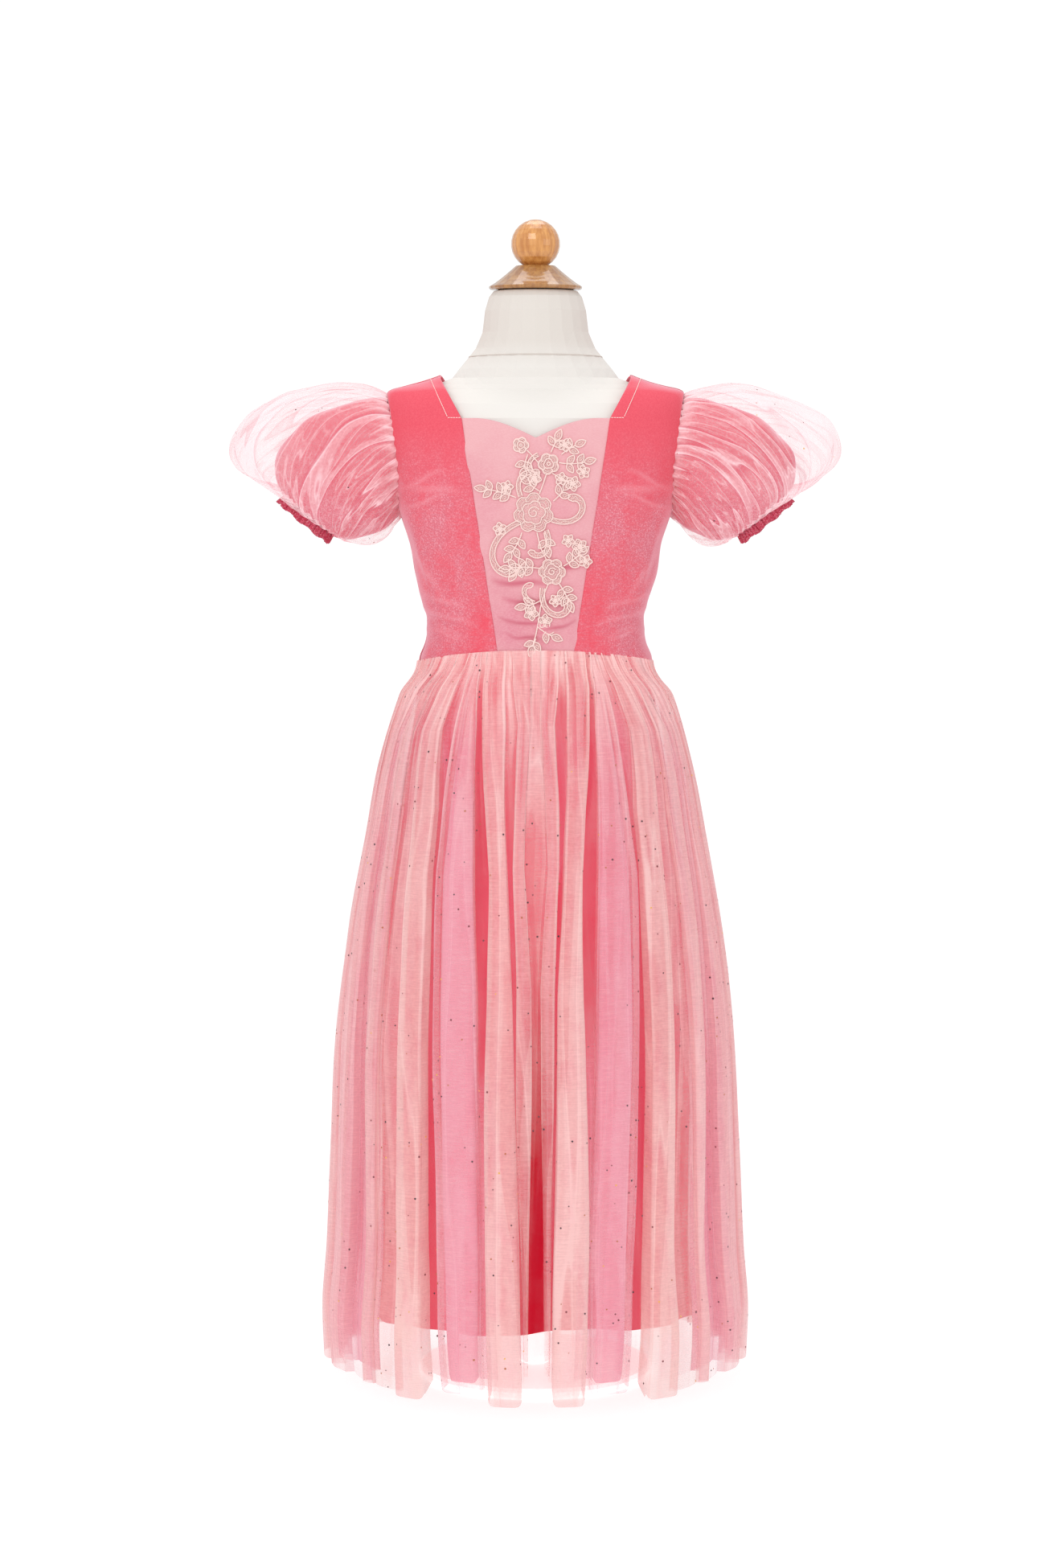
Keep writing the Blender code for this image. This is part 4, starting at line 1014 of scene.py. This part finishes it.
def skirt_grid(fineness, drops, hem, inset, top_out, gather, seed, narrow=0.0):
    """A gathered skirt layer, with how double the net lies and how pink it is at every point."""
    rng = np.random.default_rng(seed)
    start, stop = strip_ring(0.2)
    counts = np.maximum(np.round((stop - start) * fineness).astype(int), 7)
    which = np.concatenate([np.append(np.full(n, k), (k, k, k)) for k, n in enumerate(counts)])
    even = [np.linspace(-1, 1, n) for n in counts]
    across = np.concatenate([np.append(0.55 * np.sin(math.pi / 2 * t) + 0.45 * t, (1, 1, 1)) for t in even])
    flank = np.concatenate([np.append(np.zeros(n), (0.22, 0.5, 0.78)) for n in counts])
    following = (which + 1) % len(counts)
    lines = gather_lines(len(counts), rng)
    lift_of = np.array([row[4] for row in STRIPS])
    lift_of = np.append(lift_of, lift_of[-2:0:-1])
    sway_of = rng.uniform(0, 2 * math.pi, (2, len(counts)))
    points, nets, pinks = [], [], []
    for drop in drops:
        height = mix(0.652, hem + 0.004, drop)
        start, stop = strip_ring(height)
        level, net, pink = (strip_values(c, height) for c in (1, 2, 3))
        fall = ease(drop / 0.12)
        sway = 0.22 * np.sin(sway_of[0] + 6 * drop) + 0.08 * np.sin(sway_of[1] + 15 * drop)
        stop = stop + sway * fall
        start = np.append(stop[-1:] - 360, stop[:-1])
        level = 0.12 + 0.88 * level
        rise = np.roll(level, -1) - level
        tuck = 0.35 * np.clip(rise / 0.5, -1, 1) * fall
        shift = narrow * np.tanh(rise / 0.2) * fall
        left = start + np.roll(shift, 1) + np.minimum(np.roll(tuck, 1), 0)
        right = stop + shift + np.maximum(tuck, 0)
        next_left = np.append(left[1:], left[0] + 360)
        degrees = mix(left[which], right[which], (across + 1) / 2)
        degrees = mix(degrees, mix(right[which], next_left[which], flank), np.where(flank > 0, 1.0, 0.0))
        turn = ease(flank)
        rounded = 1 - 0.16 * np.abs(across) ** 6
        crest = mix(level[which] * rounded, level[following] * 0.84, turn)
        crest = mix(crest, level[which] * rounded, np.where(flank > 0, 0.0, 1.0))
        wide = (stop - start)[which] / 2
        groove = np.zeros(len(which))
        for j in range(lines.shape[1]):
            place, lean, reach, depth = (lines[which, j, c] for c in range(4))
            fade = ease(1.25 * (1 - drop / reach)) * depth
            away = (across - place - lean * drop) * wide
            groove += fade * np.exp(-((away / mix(0.75, 0.45, min(drop / 0.2, 1))) ** 2))
        groove = np.minimum(groove, 1.0) * np.where(flank > 0, 0.3, 1.0)
        rim = np.exp(-(((1 - np.abs(across)) * wide / 0.40) ** 2)) * (level[which] > 0.6)
        at = np.radians(degrees)
        waist = waist_height(at) - SKIRT_UNDER_WAIST
        lobe = 0.005 * np.abs(across) ** 12 * (level[which] > 0.6) * (wide > 3.8)
        lift = mix(lift_of[which] + lobe, lift_of[following], turn)
        raised = 0.003 * (wide > 3.8)
        lift = np.where(flank > 0, mix(lift_of[which] + raised, lift_of[following] + raised, turn), lift)
        around = np.abs((degrees + 180) % 360 - 180)
        soft = sum(np.roll(lift, k) for k in range(-7, 8)) / 15
        lift = mix(lift, soft, ease((around - 42) / 8))
        z = mix(waist, hem + lift, drop)
        inward = inset + (smooth(SKIRT, 4, z) + 0.001) * (1 - crest) + gather * groove
        points.append(hung_row(at, z, waist, inward, top_out, 1 - gather * groove / WAIST_RADIUS))
        fullness = mix(net[which], np.maximum(net[which], net[following]), np.where(flank > 0, 1.0, 0.0))
        nets.append(np.clip(mix(1.0, fullness, ease(drop / 0.10)) + 0.22 * rim - 0.48 * groove, 0.0, 1.0))
        pinks.append(mix(pink[which], pink[following], turn))
    phase = 2 * math.pi * np.arange(len(which)) / len(which)
    drop = np.array(drops)[:, None]
    flow = np.stack([
        30 * np.cos(phase) + 0 * drop, 30 * np.sin(phase) + 0 * drop, 4.2 * drop**0.8 + 0 * phase + seed,
    ], -1)
    return np.array(points), np.array(nets), np.array(pinks), flow


def skirt_rows(count):
    """Shares of the way down a skirt, closer together near the waist."""
    return (np.linspace(0, 1, count) ** 1.35).tolist()


def make_skirt(finishes, trees):
    grid, dense, pink, flow = skirt_grid(
        1.62, skirt_rows(104), hem=0.0140, inset=0.0, top_out=0.0052, gather=0.0024, seed=3,
    )
    folds = 0.0006 * waves(grid * (1, 1, 0.25), 14, 0.05, 31)
    grid = grid + normals_of(grid, True) * folds[..., None]
    creases = np.clip(waves(grid * (1, 1, 0.10), 16, 0.012, 33) - 0.9, 0, 1)
    dense = np.clip(dense + 0.22 * creases * (dense > 0.3), 0, 1)
    outer = cloth(
        "skirt_tulle_cloth", grid, finishes["salmon_tulle"], closed=True,
        values={"dense": dense, "pink": pink, "flow": flow},
    )
    fitted(outer, "skirt_tulle")
    flecks = sprinkled("skirt_glitter", outer, 1500.0, 8, 0.00078, finishes, trees)

    grid, _, pink, flow = skirt_grid(
        0.62, skirt_rows(76), hem=0.0230, inset=0.0062, top_out=0.0034, gather=0.0008, seed=5,
        narrow=1.5,
    )
    middle = cloth(
        "skirt_pink_cloth", grid, finishes["pink_tulle"], closed=True,
        values={"dense": pink, "pink": pink, "flow": flow},
    )
    fitted(middle, "skirt_pink")

    grid = underskirt_grid()
    turn = np.degrees(np.abs(np.arctan2(grid[..., 0], -grid[..., 1])))
    # Mask of the painted shade in the deep valley at the middle of the front, strongest low down.
    deep = np.exp(-((turn / 7) ** 2)) * ease((0.42 - grid[..., 2]) / 0.18)
    under = cloth("underskirt_cloth", grid, finishes["coral_lining"], closed=True, values={"deep": deep})
    fitted(under, "underskirt")


def underskirt_grid():
    at = np.radians(np.linspace(-180, 180, 320, endpoint=False))
    waist = waist_height(at) - SKIRT_UNDER_WAIST
    hem = 0.0670 + 0.003 * np.sin(at * 3 + 1) + 0.002 * np.sin(at * 7)
    rows = []
    for drop in np.linspace(0, 1, 60):
        z = mix(waist, hem, drop)
        wave = 0.0022 * (1 + np.sin(at * 20 + 0.6 * np.sin(at * 3))) * ease(drop / 0.5)
        rows.append(hung_row(at, z, waist, 0.0150 + smooth(SKIRT, 4, z) + wave, 0.0026))
    return np.array(rows)


# Sleeves


def round_grids(rows, columns):
    """The turn round a tube and the share of the way along it, at every point of a grid."""
    turn = np.linspace(0, 2 * math.pi, columns, endpoint=False)[None, :] + np.zeros((rows, 1))
    along = np.linspace(0, 1, rows)[:, None] + np.zeros((1, columns))
    return turn, along


def sleeve_surface(turn, along, rings, start_out):
    """A puffed sleeve: a Bezier curve through the armhole's edge and three rings, at every turn."""
    top = float(shoulder_height(SHOULDER_TIP_X, 0.0006))
    middle, half = (top + ARMPIT) / 2, (top - ARMPIT) / 2
    z = middle + half * np.cos(turn)
    y = -ARMHOLE_DEPTH * np.sin(turn)
    width, front, back, power = body_section(z, 0.0006)
    q = np.abs(y) / np.where(y < 0, front, back)
    x = width * (1 - np.minimum(q, 1.0) ** power) ** (1 / power) + 0.0008
    swell = 1 + start_out / ARMHOLE_DEPTH
    points = [np.stack([x, y * swell, middle + (z - middle) * (1 + start_out / half)], -1)]
    for centre, rise, depth in rings:
        ring = np.array(centre) + np.cos(turn)[..., None] * rise
        ring = ring + np.sin(turn)[..., None] * np.array([0.0, -depth, 0.0])
        points.append(ring)
    s = along[..., None]
    back = 1 - s
    weights = (back**3, 3 * back * back * s, 3 * back * s * s, s**3)
    return sum(w * p for w, p in zip(weights, points))


def sleeve_creases(turn, along, count, seed, narrow, wide):
    """Sharp slanting creases from the armhole to the cuff: 0 between them and 1 on a crease."""
    rng = np.random.default_rng(seed)
    total = np.zeros(turn.shape)
    for _ in range(count):
        centre = rng.uniform(0, 2 * math.pi)
        slant = rng.normal(0.0, 0.55)
        start = rng.uniform(-0.2, 0.7)
        stop = start + rng.uniform(0.25, 0.9)
        width = rng.uniform(narrow, wide)
        bend = rng.uniform(-0.9, 0.9)
        line = centre + slant * (along - 0.5) + bend * (along - 0.5) ** 2
        away = (turn - line + math.pi) % (2 * math.pi) - math.pi
        reach = ease(np.minimum(along - start, stop - along) / 0.2)
        total = np.maximum(total, np.exp(-((away / width) ** 2)) * reach * rng.uniform(0.45, 1.0))
    return total


def make_sleeve(name, side, seed, finishes, trees):
    turn, along = round_grids(60, 96)
    grid = sleeve_surface(turn, along, VELVET_RINGS, 0.0)
    puckers = 0.0011 * np.sin(turn * 20 + 2 * np.sin(turn * 3)) * (1 - np.sin(math.pi * along)) ** 2
    folds = 0.0012 * waves(grid, 12, 0.035, seed) * np.sin(math.pi * along)
    grid = grid + normals_of(grid, True) * (puckers + folds + 0.0005)[..., None]
    inner = cloth(
        f"sleeve_velvet_{name}_cloth", grid * (side, 1, 1), finishes["sleeve_velvet"], closed=True,
        flip=side < 0,
    )
    fitted(inner, f"sleeve_velvet_{name}")
    frill = cuff_frill(name, side, finishes, seed)

    turn, along = round_grids(110, 330)
    grid = sleeve_surface(turn, along, TULLE_RINGS, 0.0030)
    broad = sleeve_creases(turn, along, 18, seed + 3, 0.05, 0.15)
    ends = (1 - np.sin(math.pi * along)) ** 3
    gathers = np.sin(turn * 34 + 1.5 * np.sin(turn * 5 + seed)) * ends
    slack = waves(grid, 14, 0.055, seed + 2)
    lift = 0.0018 * broad + 0.0012 * gathers + 0.0020 * slack * np.sin(math.pi * along) ** 0.6
    grid = grid + normals_of(grid, True) * (lift - 0.0025 * ease(along / 0.2))[..., None]
    rim = np.exp(-((along / 0.05) ** 2)) + 0.7 * np.exp(-(((1 - along) / 0.05) ** 2))
    dense = 0.17 + 0.10 * np.cos(turn) + 0.26 * broad + 0.35 * np.maximum(gathers, 0) + 0.6 * rim
    dense = np.clip(dense, 0, 1)
    twist = turn + 0.25 * np.sin(2 * turn + seed) - 0.90 * (along - 0.5)
    flow = np.stack([3.6 * np.cos(twist) + seed, 3.6 * np.sin(twist), 1.0 * along], -1)
    balloon = cloth(
        f"sleeve_tulle_{name}_cloth", grid * (side, 1, 1), finishes["sleeve_net"], closed=True,
        flip=side < 0, values={"dense": dense, "flow": flow},
    )
    fitted(balloon, f"sleeve_tulle_{name}")
    flecks = sprinkled(f"sleeve_glitter_{name}", balloon, 700.0, seed, 0.00060, finishes, trees)


def cuff_frill(name, side, finishes, seed):
    """The crinkled velvet frill inside the cuff."""
    turn, down = round_grids(10, 420)
    centre, rise, depth = VELVET_RINGS[2]
    axis = np.array([0.635, 0.0, -0.772])
    ring = np.cos(turn)[..., None] * np.array(rise) + np.sin(turn)[..., None] * np.array([0.0, -depth, 0.0])
    crinkle = np.sin(turn * 44 + 2.2 * np.sin(turn * 5 + seed)) + 0.6 * np.sin(turn * 71 + seed)
    spread = 0.93 + 0.05 * down + 0.030 * crinkle * (0.35 + down)
    length = -0.005 + 0.0142 * down + 0.0008 * np.sin(turn * 9 + seed) * down
    grid = np.array(centre) + ring * spread[..., None] + axis * length[..., None]
    frill = cloth(
        f"sleeve_frill_{name}", grid * (side, 1, 1), finishes["frill_velvet"], closed=True, flip=side < 0,
        thick=0.0006,
    )
    return fitted(frill)


# Lace


def panel_point(x, z, out):
    """A place in millimetres on the front panels, moved out from the cloth."""
    x, z = np.asarray(x, float) / 1000, WAIST_FRONT + np.asarray(z, float) / 1000
    over = ease((np.abs(x) - centre_edge_x(z) + 0.0015) / 0.003)
    return body_point(x, z, LACE_OUT - 0.0012 * (1 - over) + out)


def rose_outline(x, z, radius, petals, steps=7, dip=0.18, spin=0.0):
    turn = np.linspace(0, 2 * math.pi, petals * steps + 1)
    reach = radius * (1 - dip * np.abs(np.cos(turn * petals / 2)) ** 5)
    turn = turn + spin
    return np.stack([x + reach * np.cos(turn), z + reach * np.sin(turn)], -1)


def leaf_outline(x, z, turn, length, width, scale=1.0):
    a = math.radians(turn)
    t = np.linspace(0, 1, 15)
    wide = width / 2 * scale * np.sin(math.pi * t**0.85) ** 0.8
    along = length * (0.5 + (t - 0.5) * scale)
    middle = np.stack([x + along * math.cos(a), z + along * math.sin(a)], -1)
    aside = np.stack([-wide * math.sin(a), wide * math.cos(a)], -1)
    return np.concatenate([middle - aside, (middle + aside)[-2::-1]])


def scroll_sides(x, z, turn, length, curl, width, steps=26):
    heading = math.radians(turn)
    middle, sides = [], []
    for i in range(steps + 1):
        t = i / steps
        half = width / 2 * (0.75 + 0.6 * t**3)
        middle.append((x, z))
        sides.append((-half * math.sin(heading), half * math.cos(heading)))
        x += length / steps * (1.25 - 0.5 * t) * math.cos(heading)
        z += length / steps * (1.25 - 0.5 * t) * math.sin(heading)
        heading += math.radians(curl) / steps * (0.4 + 1.2 * t)
    middle, sides = np.array(middle), np.array(sides)
    return middle, middle + sides, middle - sides


def sprig(x, z, turn, length, pairs, bend):
    """A bent stem, and its leaflets: one at the tip and pairs along it."""
    steps = 12
    stem, heading = [(x, z)], math.radians(turn)
    for _ in range(steps):
        stem.append((
            stem[-1][0] + length / steps * math.cos(heading), stem[-1][1] + length / steps * math.sin(heading)
        ))
        heading += math.radians(bend) / steps
    stem = np.array(stem)
    leaflets = [(*stem[-1], math.degrees(heading), 10.4, 5.8)]
    for k in range(pairs):
        i = int(round(steps * (k + 0.75) / (pairs + 0.35)))
        way = math.degrees(math.atan2(*(stem[i] - stem[i - 1])[::-1]))
        leaflets += [(*stem[i], way + 54, 9.2, 5.4), (*stem[i], way - 54, 9.2, 5.4)]
    return stem, leaflets


def rose_lines(x, z, radius, petals, spin):
    """A rose's rings of petals around a curled bud."""
    lines = [rose_outline(x, z, radius, petals, spin=spin)]
    inner = 0.60 if radius > 10 else 0.50
    lines.append(rose_outline(x, z, radius * inner, petals - 2, dip=0.20, spin=spin + 0.5))
    turn = np.linspace(0.5, 8.5, 26) if radius > 10 else np.linspace(0, 2 * math.pi, 9)
    curl = radius * 0.34 * (1 - turn / 11) if radius > 10 else radius * 0.16 + 0 * turn
    lines.append(np.stack([x + curl * np.cos(turn), z + curl * np.sin(turn)], -1))
    for k in range(petals):
        a = spin + 2 * math.pi * k / petals
        reach = np.linspace(inner * 1.04, 0.82, 5) * radius
        lines.append(np.stack([x + reach * np.cos(a + 0.12), z + reach * np.sin(a + 0.12)], -1))
    return lines


def lace_lines():
    """The lace in flat millimetres: its cords, its thin threads and the outlines of its net ground."""
    lines, threads, grounds = [np.array(stem) for stem in STEMS], [], []
    leaflets = []
    for row in SPRIGS:
        stem, leaves = sprig(*row)
        lines.append(stem)
        leaflets += leaves
    for x, z, radius in BLOSSOMS:
        lines.append(rose_outline(x, z, radius * 0.22, 5, dip=0.0))
        leaflets += [(x, z, 72 * k + 20 * x, radius, radius * 0.80) for k in range(5)]
    for row in leaflets:
        outline = leaf_outline(*row)
        lines.append(outline)
        grounds.append(outline[:-1])
        if row[3] > 6:
            threads.append(leaf_outline(*row, scale=0.40))
    for row in ROSES:
        rings = rose_lines(*row)
        lines += rings
        grounds.append(rings[0][:-1])
        x, z, radius, petals, spin = row
        for share in (0.90, 0.74):
            threads.append(rose_outline(x, z, radius * share, petals, spin=spin))
    for x, z, turn, length, curl, width in SCROLLS:
        middle, left, right = scroll_sides(x, z, turn, length, curl, width)
        cap = middle[-1] + (middle[-1] - middle[-2]) * 1.6
        lines.append(np.concatenate([left, [cap], right[::-1]]))
        grounds.append(np.concatenate([right, [cap], left[::-1]]))
        wave = np.sin(np.arange(len(middle)) * math.pi / 2)[:, None]
        threads.append(middle + (left - middle) * 0.45 * wave)
    return lines, threads, grounds


def make_lace(finishes, trees):
    lines, threads, grounds = lace_lines()
    for name, group, radius in (("lace_cords", lines, 0.00060), ("lace_threads", threads, 0.00030)):
        placed = [panel_point(line[:, 0], line[:, 1], 0.0006) for line in group]
        cords = grown(
            name, lines_mesh(name + " lines", placed), trees["cord"],
            Radius=radius, Step=0.0008, Uneven=0.35, Finish=finishes["lace_cord"],
        )
        fitted(cords)
    points, faces = [], []
    for outline in grounds:
        faces.append(list(range(len(points), len(points) + len(outline))))
        points += [tuple(map(float, p)) for p in outline]
    points, _, faces, _, _, _ = delaunay_2d_cdt(points, [], faces, 1, 0.02)
    flat = np.array([tuple(p) for p in points])
    used = sorted({i for face in faces for i in face})
    renumber = {old: new for new, old in enumerate(used)}
    mesh = bpy.data.meshes.new("lace ground")
    placed = panel_point(flat[used, 0], flat[used, 1], 0.0003)
    mesh.from_pydata(placed.tolist(), [], [[renumber[i] for i in face] for face in faces])
    ground = bpy.data.objects.new("lace_ground", mesh)
    bpy.context.scene.collection.objects.link(ground)
    mesh.materials.append(finishes["lace_net"])
    fitted(ground, "lace_applique")


# Form, stage and camera


def make_form(finishes, trees):
    at = np.linspace(0, 2 * math.pi, 97)
    heights = 0.9115 + 0.0012 * np.cos(at)
    x, y = superellipse(at, *body_section(heights, 0.0))
    seam = grown(
        "neck_seam", lines_mesh("neck seam line", [np.stack([x, y, heights], -1)]), trees["cord"],
        Radius=0.00055, Step=0.0020, Uneven=0.0, Finish=finishes["seam"],
    )
    fitted(seam)
    for node, finish in (
        ("form_body", "form_cover"), ("neck_cap", "turned_wood"), ("finial_ball", "finial_wood"),
        ("stand_pole", "white_steel"), ("stand_base", "white_steel"),
    ):
        CAD_NODES[node].data.materials.clear()
        CAD_NODES[node].data.materials.append(finishes[finish])


def make_stage():
    scene = bpy.context.scene
    bpy.ops.mesh.primitive_circle_add(vertices=96, radius=1.5, fill_type="NGON", location=(0, 0, 0))
    floor = bpy.context.object
    floor.name = "studio_floor"
    paint = Paint(
        "studio floor", Base_Color=(0.30, 0.30, 0.30), Roughness=0.95, Specular_IOR_Level=0.0,
        Emission_Color=WHITE, Emission_Strength=0.80,
    )
    floor.data.materials.append(paint.material)
    world = bpy.data.worlds.new("studio")
    scene.world = world
    world.use_nodes = True
    world.node_tree.nodes["Background"].inputs[0].default_value = (*WHITE, 1.0)
    seen = world.node_tree.nodes.new("ShaderNodeLightPath")
    strength = world.node_tree.nodes.new("ShaderNodeMapRange")
    strength.inputs[3].default_value = 0.80
    strength.inputs[4].default_value = 1.05
    world.node_tree.links.new(seen.outputs["Is Camera Ray"], strength.inputs[0])
    world.node_tree.links.new(strength.outputs[0], world.node_tree.nodes["Background"].inputs[1])
    for name, place, target, size, power in (
        ("key", (-1.6, -2.6, 2.3), (0.0, 0.0, 0.6), 1.6, 27.0),
        ("fill", (2.2, -2.4, 1.4), (0.0, 0.0, 0.5), 2.0, 11.0),
        ("top", (0.0, 0.6, 2.8), (0.0, 0.0, 0.7), 1.4, 12.0),
    ):
        light = bpy.data.lights.new(name, "AREA")
        light.size = size
        light.energy = power
        lamp = bpy.data.objects.new(name, light)
        scene.collection.objects.link(lamp)
        lamp.location = place
        way = Vector(target) - Vector(place)
        lamp.rotation_euler = way.to_track_quat("-Z", "Y").to_euler()
    camera = bpy.data.cameras.new("camera")
    camera.lens = 81.4
    camera.sensor_width = 36.0
    camera.clip_end = 100.0
    eye = bpy.data.objects.new("camera", camera)
    scene.collection.objects.link(eye)
    eye.location = (-0.0115, -3.15, 0.810)
    eye.rotation_euler = (math.radians(90 - 5.02), 0.0, 0.0)
    scene.camera = eye
    scene.view_settings.view_transform = "Standard"
    scene.cycles.transparent_max_bounces = 28


def main():
    finishes = make_finishes()
    trees = {"cord": cord_tree(), "stitch": stitch_tree(), "glitter": glitter_tree()}
    make_form(finishes, trees)
    make_bodice(finishes, trees)
    make_lace(finishes, trees)
    make_skirt(finishes, trees)
    make_sleeve("right", 1, 40, finishes, trees)
    make_sleeve("left", -1, 70, finishes, trees)
    make_stage()


main()
